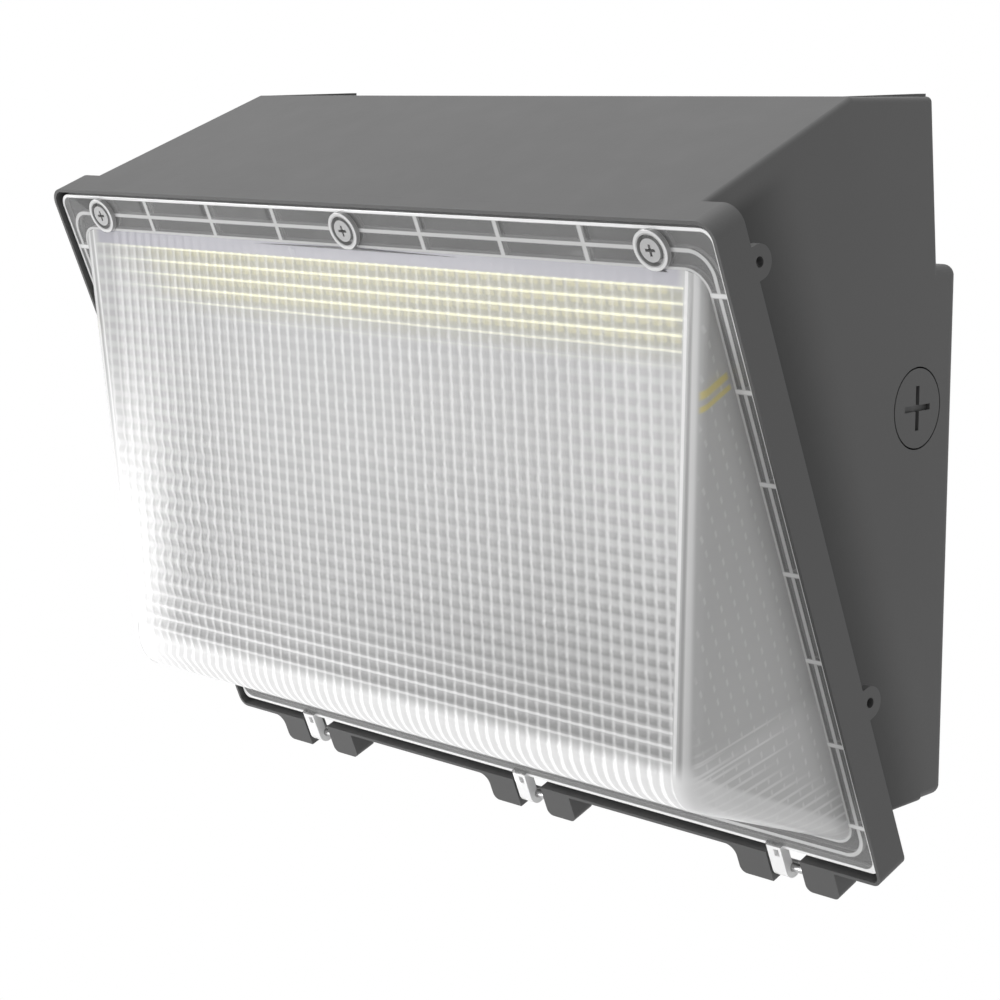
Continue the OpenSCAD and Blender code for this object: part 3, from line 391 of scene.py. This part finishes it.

# Screw bosses: one in the middle and one at each end, with a painted bright highlight round
# their edge
from_boss, down_boss = across.math("MINIMUM", (across - BOSS_X).math("ABSOLUTE")), s - BOSS_S
off_axis = (from_boss * from_boss + down_boss * down_boss).math("SQRT")
boss_face, boss_ring_highlight = off_axis.fall(7.3, 7.6), off_axis.bar(6.6, 0.6, 0.4)

loop = loop_distance(across, s, LOOP_HALF, LOOP_TOP, LOOP_LOW, LOOP_R).bar(0.0, 1.0, 0.5)
loop = loop * (1.0 - boss_face)
between_bosses = across.fall(125.0, 126.0) * across.rise(20.0, 21.0)
cross = across.ribs(0.0, TOP_RIB_STEP, 0.6, 1.4) * between_bosses * s.fall(18.0, 18.4)
beside = s.ribs(FIRST_SIDE_RIB, SIDE_RIB_STEP, 0.5, 1.3) * across.rise(170.0, 170.4)
# painted shade: a darker line beside each top rib
dark_line = across.ribs(3.0, TOP_RIB_STEP, 0.4, 1.4) * between_bosses * s.fall(9.0, 11.0)

# painted highlight: edges, ribs, the root loop and the boss rings are blended towards white,
# and let less light through
thick_and_highlit = edge.either(boss_ring_highlight * 0.5).either(loop * 0.6).either(cross * 0.6)
thick_and_highlit = thick_and_highlit.either(beside * 0.8).either(root * 0.6)
haze = flange_clear.noise(120.0, 3.0)
plain = flange_clear.blend(dark_line * 0.8, grey(138), grey(84))
plain = flange_clear.blend(boss_face * 0.7, plain, grey(196))
flange_clear.feed(Base_Color=flange_clear.blend(thick_and_highlit, plain, grey(253)),
                  Alpha=(thick_and_highlit * 0.37).either(boss_face * 0.36) + 0.54 + haze * 0.06,
                  Roughness=haze * 0.1 + 0.12)
flange_clear.bump(haze, 0.05, 0.3)
print("made", flange_clear.material.name)

# %% [markdown]
# ## The cover's optical skin
# The bulge of the cover is the tightest skin over two shapes: the flat opening in the
# flange, and a long roll in front of it with rounded ends. A convex skin touches each
# shape where its outward direction agrees with the shape's own, so a point of the skin
# is found from its outward direction: where both shapes reach equally far in a
# direction, a straight line joins their touching points. That gives the flat front,
# the corner curves and the flat sides, and the roll itself closes the front.

# %% Where a direction touches the two shapes
ROLL_OUT, ROLL_DOWN, ROLL_R, ROLL_EDGE, ROLL_HALF = 37.5, 183.5, 16.0, 8.0, 159.0
FLANGE_N, FLANGE_BACK = 2.0, 4.2


def outward(a, b):
    """Direction (x, n, s) turned by a to the side, and by b up, or down if negative."""
    return np.sin(a), -np.cos(a) * np.cos(b), -np.cos(a) * np.sin(b)


def opening_touch(d, inset, low):
    """Point of the rounded opening furthest along d.

    It is its corner's centre plus the corner's radius along the flat part of d.
    """
    dx, _, ds = d
    flat = np.hypot(dx, ds)
    s_mid = BULGE_LOW - inset - ROOT_R if low else BULGE_TOP + inset + ROOT_R
    return (BULGE_HALF - inset - ROOT_R + ROOT_R * dx / flat, np.full_like(dx, FLANGE_N),
            s_mid + ROOT_R * ds / flat)


def roll_touch(d, inset):
    """Point of the roll furthest along d.

    It is the end of its axis, plus a disc's radius across the axis, plus the edge
    radius along d.
    """
    dx, dn, ds = d
    ball, disc = ROLL_EDGE - inset, (ROLL_R - ROLL_EDGE) / np.hypot(dn, ds)
    return (ROLL_HALF - ROLL_EDGE + ball * dx, -ROLL_OUT + (disc + ball) * dn,
            ROLL_DOWN + (disc + ball) * ds)


def roll_wins(d, inset, low):
    """Where the roll reaches further along d than the opening: reach = point . d."""
    roll, opening = roll_touch(d, inset), opening_touch(d, inset, low)
    return sum(p * q for p, q in zip(roll, d)) > sum(p * q for p, q in zip(opening, d))


d = outward(np.array([0.5]), np.array([0.2]))
print("touching points for one direction:", np.round(roll_touch(d, 0), 1).ravel().tolist(),
      np.round(opening_touch(d, 0, False), 1).ravel().tolist())

# %% [markdown]
# ## Turns at which both shapes reach equally far
# No short formula gives these turns, but a comparison says on which side of them a
# direction lies. Halving the interval 50 times finds them to the last digit, and the
# same few lines work for a whole array at once.

# %% Halving
HALVINGS = 50
MIDDLE = 1e-6  # a turn next to 0, where the formulas have no division by 0


def tangent_turn(a, inset, low):
    """The up or down turn b at which both shapes reach equally far, for all of a at once."""
    near, far = np.zeros_like(a), np.full_like(a, math.radians(88))
    sign = -1 if low else 1
    for _ in range(HALVINGS):
        mid = (near + far) / 2
        on_roll = roll_wins(outward(a, sign * mid), inset, low)
        near, far = np.where(on_roll, mid, near), np.where(on_roll, far, mid)
    return sign * (near + far) / 2


def side_turn(inset):
    """The side's own turn: the largest a whose level direction still belongs to the roll."""
    near, far = 0.3, math.radians(89)
    for _ in range(HALVINGS):
        mid = (near + far) / 2
        on_roll = roll_wins(outward(np.array([mid]), np.array([1e-9])), inset, False)[0]
        near, far = (mid, far) if on_roll else (near, mid)
    return near


front_turn = tangent_turn(np.array([MIDDLE]), 0.0, False)
print("the front leans back by", round(math.degrees(front_turn[0]), 2),
      "and the sides by", round(90 - math.degrees(side_turn(0)), 2), "degrees from the rim")

# %% [markdown]
# ## Grid of the skin
# The skin is a grid of rows and columns. Each row runs over the side, the corner, the
# front, the other corner and the other side. Down the rows come the flat front, the
# roll and the flat bottom. The middle of the front holds 57 columns of 31 cells, each
# with three steps each way, which is enough for a pillow a few millimetres wide. The
# cells run from GRID_TOP to GRID_LOW, which are shares of the front's height.

# %% Points of the grid
COLUMNS, CELL_ROWS, STEPS = 57, 31, 3
GRID_HALF, GRID_TOP, GRID_LOW = 151.0, 0.034, 0.971
CELL_W = 2 * GRID_HALF / COLUMNS
CORNER_STEPS, ROLL_STEPS, BOTTOM_STEPS, SIDE_STEPS = 8, 18, 9, 6
ROOT_FRONT, ROOT_ROLL = 0.78, 0.82  # shares of the root beside the front and the roll
WALL = 2.6


def corner_rows(inset, front, bottom):
    """Points (rows, turns, 3) of the right corner: straight, round the roll, straight."""
    a = np.linspace(MIDDLE, side_turn(inset), CORNER_STEPS + 1)
    up, down = tangent_turn(a, inset, False), tangent_turn(a, inset, True)
    turn = np.linspace(0, 1, ROLL_STEPS + 1)[1:-1, None]

    def ruled(b, low, t):
        p, r = opening_touch(outward(a, b), inset, low), roll_touch(outward(a, b), inset)
        return [u + (v - u) * t for u, v in zip(p, r)]

    round_roll = roll_touch(outward(a[None, :] + 0 * turn, up + (down - up) * turn), inset)
    parts = zip(ruled(up, False, front), round_roll, ruled(down, True, 1 - bottom))
    return np.stack([np.concatenate(part) for part in parts], axis=-1)


def skin_grid(inset):
    """Points (rows, columns, 3) in rim directions, from the left root to the right root."""
    cells = np.arange(CELL_ROWS * STEPS + 1) / (CELL_ROWS * STEPS)
    front = np.concatenate([[0], GRID_TOP + (GRID_LOW - GRID_TOP) * cells, [1]])[:, None]
    bottom = np.linspace(0, 1, BOTTOM_STEPS + 1)[:, None]
    corner = corner_rows(inset, front, bottom)
    share = np.concatenate([ROOT_FRONT * front[:, 0],
                            np.linspace(ROOT_FRONT, ROOT_ROLL, ROLL_STEPS + 1)[1:-1],
                            ROOT_ROLL + (1 - ROOT_ROLL) * bottom[:, 0]])
    root_s = BULGE_TOP + inset + ROOT_R
    root_s = root_s + share * (BULGE_LOW - BULGE_TOP - 2 * inset - 2 * ROOT_R)
    root = np.stack([np.full_like(share, BULGE_HALF - inset), np.full_like(share, FLANGE_N),
                     root_s], axis=-1)
    t = np.linspace(0, 1, SIDE_STEPS + 1)[1:, None]
    side = corner[:, -1:] + (root[:, None] - corner[:, -1:]) * t
    right = np.concatenate([corner, side], axis=1)
    middle_x = np.linspace(-GRID_HALF, GRID_HALF, COLUMNS * STEPS + 1)
    middle = np.repeat(corner[:, :1], len(middle_x), axis=1)
    middle[:, :, 0] = middle_x
    return np.concatenate([right[:, ::-1] * [-1, 1, 1], middle, right], axis=1)


outer, inner = skin_grid(0.0), skin_grid(WALL)
print("grid of", outer.shape[:2], "points, with cells", round(CELL_W, 2), "mm wide")

# %% [markdown]
# ## Flutes and prisms
# The skin carries upright flutes from top to bottom, and cross prisms on its flat
# front, so the front is a grid of small pillows. Each is a parabola over its cell:
# deepest at the cell's border and flush in its middle. Moving each grid point along
# its outward direction cuts them in.

# %% Cut the flutes and prisms
FLUTE_DEPTH, PRISM_DEPTH = 0.22, 0.10


def inward(points):
    """Direction into the cover: the cross product of the steps down and across the grid."""
    down, along = np.gradient(points, axis=0), np.gradient(points, axis=1)
    normal = np.cross(down, along)
    return normal / np.maximum(np.linalg.norm(normal, axis=-1, keepdims=True), 1e-9)


def relief(points, flute, prism):
    """Depth in mm below the smooth skin: depth * (2 |u - 1/2|)^2, with u from 0 to 1."""
    x = points[:, :, 0]
    u = (x + GRID_HALF) / CELL_W
    on_grid = np.abs(x) <= GRID_HALF + 1e-6
    depth = flute * (2 * np.abs(u - np.floor(u + 1e-6) - 0.5)) ** 2 * on_grid
    row = np.arange(points.shape[0])[:, None] - 1
    w = row / STEPS
    on_front = (row >= 0) & (row <= CELL_ROWS * STEPS)
    depth = depth + prism * (2 * np.abs(w - np.floor(w) - 0.5)) ** 2 * on_front * on_grid
    depth[0] = depth[-1] = 0
    return depth[:, :, None]


outer_cut = outer + inward(outer) * relief(outer, FLUTE_DEPTH, PRISM_DEPTH)
inner_cut = inner + inward(inner) * relief(inner, 0.0, PRISM_DEPTH)
print("deepest cut in mm:", round(float(np.abs(outer_cut - outer).max()), 2))

# %% [markdown]
# ## Mesh from grids
# A grid's faces follow from its shape alone: each one joins four neighbours. The
# cover's skin is one closed shell, made of the outer grid, the inner grid turned
# round, and a band that joins their edges at the back of the flange.

# %% The closed shell
def grid_faces(rows, cols, start=0, flip=False):
    """Index quads (i, i + cols, i + cols + 1, i + 1) of a rows x cols grid of points."""
    i = start + np.arange((rows - 1) * cols).reshape(rows - 1, cols)[:, :-1].ravel()
    quads = np.stack([i, i + cols, i + cols + 1, i + 1], axis=1)
    return quads[:, ::-1] if flip else quads


rows, cols = outer.shape[:2]
ring = np.concatenate([np.arange(cols), cols * np.arange(1, rows) + cols - 1,
                       cols * (rows - 1) + np.arange(cols - 2, -1, -1),
                       cols * np.arange(rows - 2, 0, -1)])
rim_out, rim_in = outer.reshape(-1, 3)[ring], inner.reshape(-1, 3)[ring]
band = np.stack([rim_out, rim_out, rim_in, rim_in])
band[1:3, :, 1] = FLANGE_BACK
band = np.concatenate([band, band[:, :1]], axis=1)
shell = np.concatenate([grid.reshape(-1, 3) for grid in (outer_cut, inner_cut, band)])
shell_faces = np.concatenate([
    grid_faces(rows, cols), grid_faces(rows, cols, rows * cols, flip=True),
    grid_faces(*band.shape[:2], 2 * rows * cols)])
print("shell of", len(shell_faces), "faces")

# %% [markdown]
# ## From a mesh to a piece
# Both parts of the cover are edited as a bmesh, Blender's editable mesh, and then
# become a visible piece: smooth, except at edges sharper than an angle. The cover's
# bulge is slightly faceted by its grid, so its angle is larger.

# %% Make a piece
WELD = 2e-6


def add_piece(name, work, finish, sharp):
    """A visible piece from a bmesh, with edges sharper than the angle kept sharp."""
    mesh = bpy.data.meshes.new(name)
    work.to_mesh(mesh)
    work.free()
    mesh.shade_smooth()
    mesh.set_sharp_from_angle(angle=math.radians(sharp))
    mesh.materials.append(finish.material)
    piece = bpy.data.objects.new(name, mesh)
    bpy.context.scene.collection.objects.link(piece)
    return piece


def shell_mesh(points, faces):
    """The shell as a bmesh, with its three parts welded together."""
    raw = bpy.data.meshes.new("shell")
    raw.from_pydata(points, [], faces)
    work = bmesh.new()
    work.from_mesh(raw)
    bpy.data.meshes.remove(raw)
    bmesh.ops.remove_doubles(work, verts=work.verts, dist=WELD)
    bmesh.ops.dissolve_degenerate(work, edges=work.edges, dist=1e-7)
    return work


print("pieces are welded at", WELD * 1e6, "micrometres")

# %% [markdown]
# ## Rows and columns in the skin's material
# The photograph shows the front as a pale grey grid. Where two flutes meet there is a
# bright upright line, painted as a highlight, and each cell has a soft dark spot of
# painted shade in its middle. Near the left end the lines sway from row to row. The
# material counts the same rows and columns as the mesh: a fraction of 0 or 1 is a
# cell's border, and 0.5 its middle.

# %% Grid masks of the skin
roll_s = roll_touch(outward(np.array([MIDDLE]), front_turn), 0.0)[2][0]
FRONT_S = BULGE_TOP + GRID_TOP * (roll_s - BULGE_TOP)
ROW_S = (GRID_LOW - GRID_TOP) * (roll_s - BULGE_TOP) / CELL_ROWS

skin_clear = Finish("clear fluted skin", IOR=1.58, Specular_IOR_Level=0.35,
                    Emission_Strength=1.0)
x, n, s = skin_clear.rim_axes()
haze, grain = skin_clear.noise(70.0, 3.0), skin_clear.noise(260.0)

# q is the distance past the front's corner, which leans inwards down the slope
q = x.math("ABSOLUTE") + s.math("MINIMUM", 178.0) * 0.07 - 163.4
below = s.rise(172.0, 181.0)
on_front = q.fall(-0.8, 0.0) * s.rise(FRONT_S - 0.6, FRONT_S)

row = (s - FRONT_S) / ROW_S
sway = x.fall(-135.0, -60.0) * s.rise(60.0, 130.0)
zigzag = (row.math("PINGPONG", 1.0) - 0.5) * sway * 2.4
column = (x + zigzag + (grain - 0.5) * 1.2 + GRID_HALF) / CELL_W
from_column_middle = (column.math("FRACT") - 0.5).math("ABSOLUTE")
from_row_middle = (row.math("FRACT") - 0.5).math("ABSOLUTE")
# painted highlight where two flutes meet, painted shade in the middle of each cell, and a
# painted highlight on the lower row ledges
flute_joint_highlight = from_column_middle.rise(0.22, 0.5) * (grain * 0.6 + 0.6) * on_front
cell_shade_spot = from_row_middle.fall(0.12, 0.42) * (1.0 - flute_joint_highlight) * on_front * (1.0 - below)
ledge_highlight = from_row_middle.rise(0.36, 0.46) * s.rise(146.0, 170.0) * on_front * (1.0 - below)
print("rows start at s =", round(FRONT_S, 2), "mm and are", round(ROW_S, 2), "mm apart")

# %% [markdown]
# ## Larger areas of the skin
# Flutes smear the lamps behind them sideways, so the first cross prisms show as thin
# yellow lines of painted lamp light, which fade down the rows and towards the left end.
# The strip above them is smooth, with a painted tint of light. The lower left end is
# painted white with light. At the front's corner come a thin painted bright line, a
# darker painted groove shade and a painted bright band, and then the flat side.

# %% Area masks of the skin
# painted lamp light: the area over the lamps and its thin yellow lines
lit = s.fall(38.0, 50.0) * (x - s * 1.6).rise(-215.0, -120.0) * on_front
glow = from_row_middle.rise(0.38, 0.47) * lit
# painted tint of light on the smooth strip
strip = s.fall(FRONT_S - 0.8, FRONT_S - 0.2) * q.fall(-4.0, 0.0)
# painted light that whitens the lower left end, and at the front's corner painted highlights
# and a darker painted groove shade
painted_bright_end = (x + s * 0.12).fall(-143.0, -96.0) * s.rise(50.0, 160.0)
corner = q.bar(0.8, 0.9, 0.4).either(q.rise(3.3, 4.0) * q.fall(5.0, 7.0))
painted_groove_shade = q.bar(2.7, 0.5, 0.5) * s.rise(FRONT_S, 40.0)
side_face = q.rise(5.8, 7.8)
print("area masks made")

# %% [markdown]
# ## Tones of the front
# The tones are laid over one another like paint: each blend keeps what is under it
# where its mask is 0. The corner curves, the roll and the bottom are painted whiter
# with light, and the front is painted a little paler towards both ends.

# %% Front tones
# colours of painted lamp light, and of the painted tint of light on the smooth strip
LAMP_HAZE, LAMP_SPOT, SKY_STRIP = (0.6, 0.6, 0.42), (0.42, 0.415, 0.32), (0.36, 0.355, 0.4)

# painted light: the front is paler towards both ends
front = skin_clear.blend(x.math("ABSOLUTE").rise(90.0, 150.0), grey(164), grey(184))
front = skin_clear.blend(flute_joint_highlight * 0.9, front, grey(196))
painted_roll_light = skin_clear.blend(flute_joint_highlight, grey(216), grey(255))
# painted shade spots, painted lamp light, the painted strip tint, painted corner highlights,
# painted groove shade, painted ledge highlights, and the painted white roll and end
for mask, tone in ((cell_shade_spot * (s.rise(60.0, 130.0) * 0.5 + 0.35), grey(134)),
                   (lit * 0.25, LAMP_HAZE), (lit * cell_shade_spot * 0.5, LAMP_SPOT),
                   (strip, SKY_STRIP), (corner, grey(226)), (painted_groove_shade * 0.5, grey(140)),
                   (ledge_highlight * 0.65, grey(246)), (below, painted_roll_light),
                   (painted_bright_end * 0.85, grey(255))):
    front = skin_clear.blend(mask, front, tone)
print("front tones laid")

# %% [markdown]
# ## Tones of the sides
# The sides are grey with faint dashes of painted light. Short painted highlights start
# at the side's foot, with three longer ones above them near the front corner, and the
# foot itself carries a painted highlight. A painted yellow streak shows where a lamp
# row shines through.

# %% Side tones
STREAK = (0.95, 0.82, 0.3)

above_foot = n * 0.962 + 228.1 - s
# painted highlights and dashes of light on the side, and a painted yellow streak of lamp light
short_highlights = s.ribs(1.85, 3.7, 0.15, 0.85) * above_foot.fall(6.0, 22.0)
long_highlights = s.ribs(175.0, 6.1, 0.15, 0.65) * s.bar(181.0, 14.0, 1.0) * n.fall(-24.0, -6.0)
dash_light = n.ribs(2.6, 5.2, 0.1, 0.7) * (s + n * 0.9).ribs(2.6, 5.2, 0.8, 1.4) * (grain + 0.3)
lean = s + n * 0.25
streak = lean.bar(54.0, 1.2, 1.2).either(lean.bar(58.0, 0.8, 1.0))
streak = streak * n.rise(-22.0, -16.0) * n.fall(0.0, 1.5)

# painted highlights, a painted highlight on the foot, and the painted yellow streak
bright = (dash_light * 0.6).either(short_highlights.either(long_highlights) * 0.75)
side = skin_clear.blend(bright, grey(217), grey(254))
side = skin_clear.blend(above_foot.fall(0.5, 3.5) * 0.7, side, grey(254))
side = skin_clear.blend(streak, side, STREAK)
print("side tones laid")

# %% [markdown]
# ## The skin as a piece
# The yellow lines, the roll and the white end also carry a faint painted glow: an
# emission, though the plastic is no lamp. The alpha is lower over the lamps and on the
# sides, so more of what is behind shows there. The skin and the flange together take
# the place of the CAD cover, and both ride on its body.

# %% Skin piece
GLOW, WHITE = (0.5, 0.49, 0.34), (1.0, 1.0, 1.0)

# painted glow: emission on the yellow lines, the roll and the white end
shine = skin_clear.blend(glow, (0.0, 0.0, 0.0), GLOW)
painted_white_glow = (below * (flute_joint_highlight * 0.1 + 0.1)).either(painted_bright_end * 0.16) * (1.0 - side_face)
shine = skin_clear.blend(painted_white_glow, shine, WHITE)
alpha = flute_joint_highlight * 0.1 + 0.78 + below * 0.16 - lit * 0.22 - side_face * 0.28 + haze * 0.05
skin_clear.feed(Base_Color=skin_clear.blend(side_face, front, side), Emission_Color=shine,
                Alpha=alpha, Roughness=haze * 0.1 + 0.2)

shell_points = from_rim(shell[:, 0], shell[:, 1], shell[:, 2])
skin = add_piece("lens_skin", shell_mesh(shell_points, shell_faces), skin_clear, sharp=50)
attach(skin, "lens")
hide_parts("lens")
print("skin of", len(skin.data.polygons), "faces")

# %% [markdown]
# ## Flange, bosses and hooks
# These are exact in the CAD model already. A copy of the cover's mesh is merged, the
# bulge's own faces are taken out, the open edges are bridged, and the rest keeps its
# ribs, screw bosses and hooks.

# %% Flange piece from the CAD mesh
NEAR = 0.02


def off_the_bulge(x, n, s):
    """Which points are outside the bulge's opening, or in one of the flange's faces."""
    outside = (s < BULGE_TOP + NEAR) | (s > BULGE_LOW - NEAR) | (np.abs(x) > BULGE_HALF - NEAR)
    return outside | (np.abs(n - FLANGE_N) < NEAR / 2) | (n > FLANGE_BACK - NEAR / 2)


def flange_mesh():
    """The cover's CAD mesh without the bulge, as a bmesh."""
    work = bmesh.new()
    work.from_mesh(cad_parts["lens"].data)
    bmesh.ops.remove_doubles(work, verts=work.verts, dist=WELD)
    work.faces.ensure_lookup_table()
    keep = off_the_bulge(*to_rim([face.calc_center_median() for face in work.faces]))
    drop = [work.faces[i] for i in np.flatnonzero(~keep)]
    bmesh.ops.delete(work, geom=drop, context="FACES")
    bmesh.ops.bridge_loops(work, edges=[edge for edge in work.edges if edge.is_boundary])
    bmesh.ops.dissolve_limit(work, angle_limit=math.radians(0.6), verts=work.verts,
                             edges=work.edges)
    return work


flange = add_piece("lens_flange", flange_mesh(), flange_clear, sharp=32)
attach(flange, "lens")
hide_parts("lens")
print("flange of", len(flange.data.polygons), "faces")

# %% [markdown]
# ## Finishes on the CAD pieces
# Every other piece keeps its exact CAD shape and gets its finish by name.

# %% Assign the finishes
FINISHES = {
    casting_coat: ["housing", "plug_left", "plug_right"],
    black_rubber: ["lens_gasket", "plug_ring_left", "plug_ring_right", "lead_bush",
                   "wall_grommet", "wall_seal"],
    clip_grey: ["screw_clip_left", "screw_clip_middle", "screw_clip_right"],
    pin_steel: ["hinge_pin_left", "hinge_pin_middle", "hinge_pin_right"],
    zinc: ["tray_screws", "board_screws", "driver_screws"],
    screw_grey: ["lens_screw_left", "lens_screw_middle", "lens_screw_right"],
    tray_enamel: ["tray"],
    board_white: ["light_board_left", "light_board_right"],
    lamp_chip: ["lamps_left", "lamps_right"],
    connector_plastic: ["board_connectors"],
    red_sleeve: ["light_leads"],
    black_sleeve: ["lead_live"],
    white_sleeve: ["lead_neutral"],
    green_sleeve: ["lead_earth"],
    driver_shell: ["driver_case"],
    cap_black: ["driver_cap_left", "driver_cap_right"],
    cap_orange: ["wire_caps"],
    screw_green: ["earth_screw"],
    lug_brass: ["earth_lug"],
}
for finish, names in FINISHES.items():
    for name in names:
        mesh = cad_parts[name].data
        mesh.materials.clear()
        mesh.materials.append(finish.material)
finished = {name for names in FINISHES.values() for name in names}
print("CAD pieces with no finish here:", sorted(set(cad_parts) - finished))

# %% [markdown]
# ## White surround
# The light hangs in front of a white surround. Soft white light comes from everywhere,
# but the camera and reflections see plain white: a Mix Shader switches between the two
# by the kind of ray.

# %% Surround
def white_to_the_camera(tree, plain, target, white_kind):
    """Mixes plain white in for camera, mirror and clear rays: factor = max of the three."""
    ray = tree.nodes.new("ShaderNodeLightPath")
    seen = ray.outputs["Is Camera Ray"]
    for name in ("Is Glossy Ray", "Is Transmission Ray"):
        most = tree.nodes.new("ShaderNodeMath")
        most.operation = "MAXIMUM"
        tree.links.new(seen, most.inputs[0])
        tree.links.new(ray.outputs[name], most.inputs[1])
        seen = most.outputs[0]
    mix = tree.nodes.new("ShaderNodeMixShader")
    white = tree.nodes.new(white_kind)
    white.inputs["Color"].default_value = (1, 1, 1, 1)
    tree.links.new(seen, mix.inputs[0])
    tree.links.new(plain, mix.inputs[1])
    tree.links.new(white.outputs[0], mix.inputs[2])
    tree.links.new(mix.outputs[0], target)


scene = bpy.context.scene
scene.view_settings.view_transform = "Standard"
world = bpy.data.worlds.new("surround")
scene.world = world
world.use_nodes = True
sky = world.node_tree.nodes["Background"]
sky.inputs["Color"].default_value = (1, 1, 1, 1)
sky.inputs["Strength"].default_value = 0.55
white_to_the_camera(world.node_tree, sky.outputs[0],
                    world.node_tree.nodes["World Output"].inputs["Surface"],
                    "ShaderNodeBackground")
print("surround of strength", round(sky.inputs["Strength"].default_value, 2))

# %% [markdown]
# ## Lamps
# Two soft disc lamps give the shading: one above for the paler top, and one low on the
# left for the front of the cover and the ears under the rim.

# %% Lamps
def soft_light(name, place, aim, size, watts):
    """A disc lamp, turned about X and then Z so that its -Z looks at the aim."""
    lamp = bpy.data.lights.new(name, "AREA")
    lamp.shape, lamp.size, lamp.energy = "DISK", size, watts
    holder = bpy.data.objects.new(name, lamp)
    bpy.context.scene.collection.objects.link(holder)
    holder.location = place
    way = np.array(aim, float) - np.array(place, float)
    flat = math.hypot(way[0], way[1])
    holder.rotation_euler = (math.atan2(flat, -way[2]), 0, math.atan2(-way[0], way[1]))


soft_light("top light", (-0.2, -0.5, 1.6), (0, -0.08, 0), 1.0, 15)
soft_light("left light", (-1.25, -1.5, -0.35), (0, -0.1, 0), 1.2, 24)

# %% [markdown]
# ## Floor
# The light hangs on a wall, so the floor is far below it, and its shadow stays clear of
# the picture. The floor sends pale light up from below. It is part of the studio and
# not of the light.

# %% Floor
FLOOR_HALF, FLOOR_Z = 6.0, -0.62
corners = [(side_x * FLOOR_HALF, side_y * FLOOR_HALF, FLOOR_Z)
           for side_x, side_y in ((-1, -1), (1, -1), (1, 1), (-1, 1))]
floor_mesh = bpy.data.meshes.new("floor")
floor_mesh.from_pydata(corners, [], [(0, 1, 2, 3)])
floor = bpy.data.objects.new("floor", floor_mesh)
scene.collection.objects.link(floor)
pale = Finish("pale floor", Base_Color=(0.8, 0.8, 0.8, 1), Roughness=0.9)
white_to_the_camera(pale.tree, pale.shader.outputs[0],
                    pale.tree.nodes["Material Output"].inputs["Surface"],
                    "ShaderNodeEmission")
floor_mesh.materials.append(pale.material)
print("floor", round(-FLOOR_Z * 1000), "mm below the middle of the wall pattern")

# %% [markdown]
# ## Camera
# The photograph looks at the light from its right and a little from above. The
# camera's place and lens were worked out from the corners of the casting.

# %% Camera
camera = bpy.data.cameras.new("camera")
camera.lens, camera.sensor_width = 88.877, 36.0
camera.clip_start, camera.clip_end = 0.02, 50
eye = bpy.data.objects.new("camera", camera)
scene.collection.objects.link(eye)
eye.location = (0.6849, -0.7323, 0.1595)
eye.rotation_euler = (math.radians(90 - 9.403), 0, math.radians(46.351))
scene.camera = eye
print("camera at", [round(c, 3) for c in eye.location])
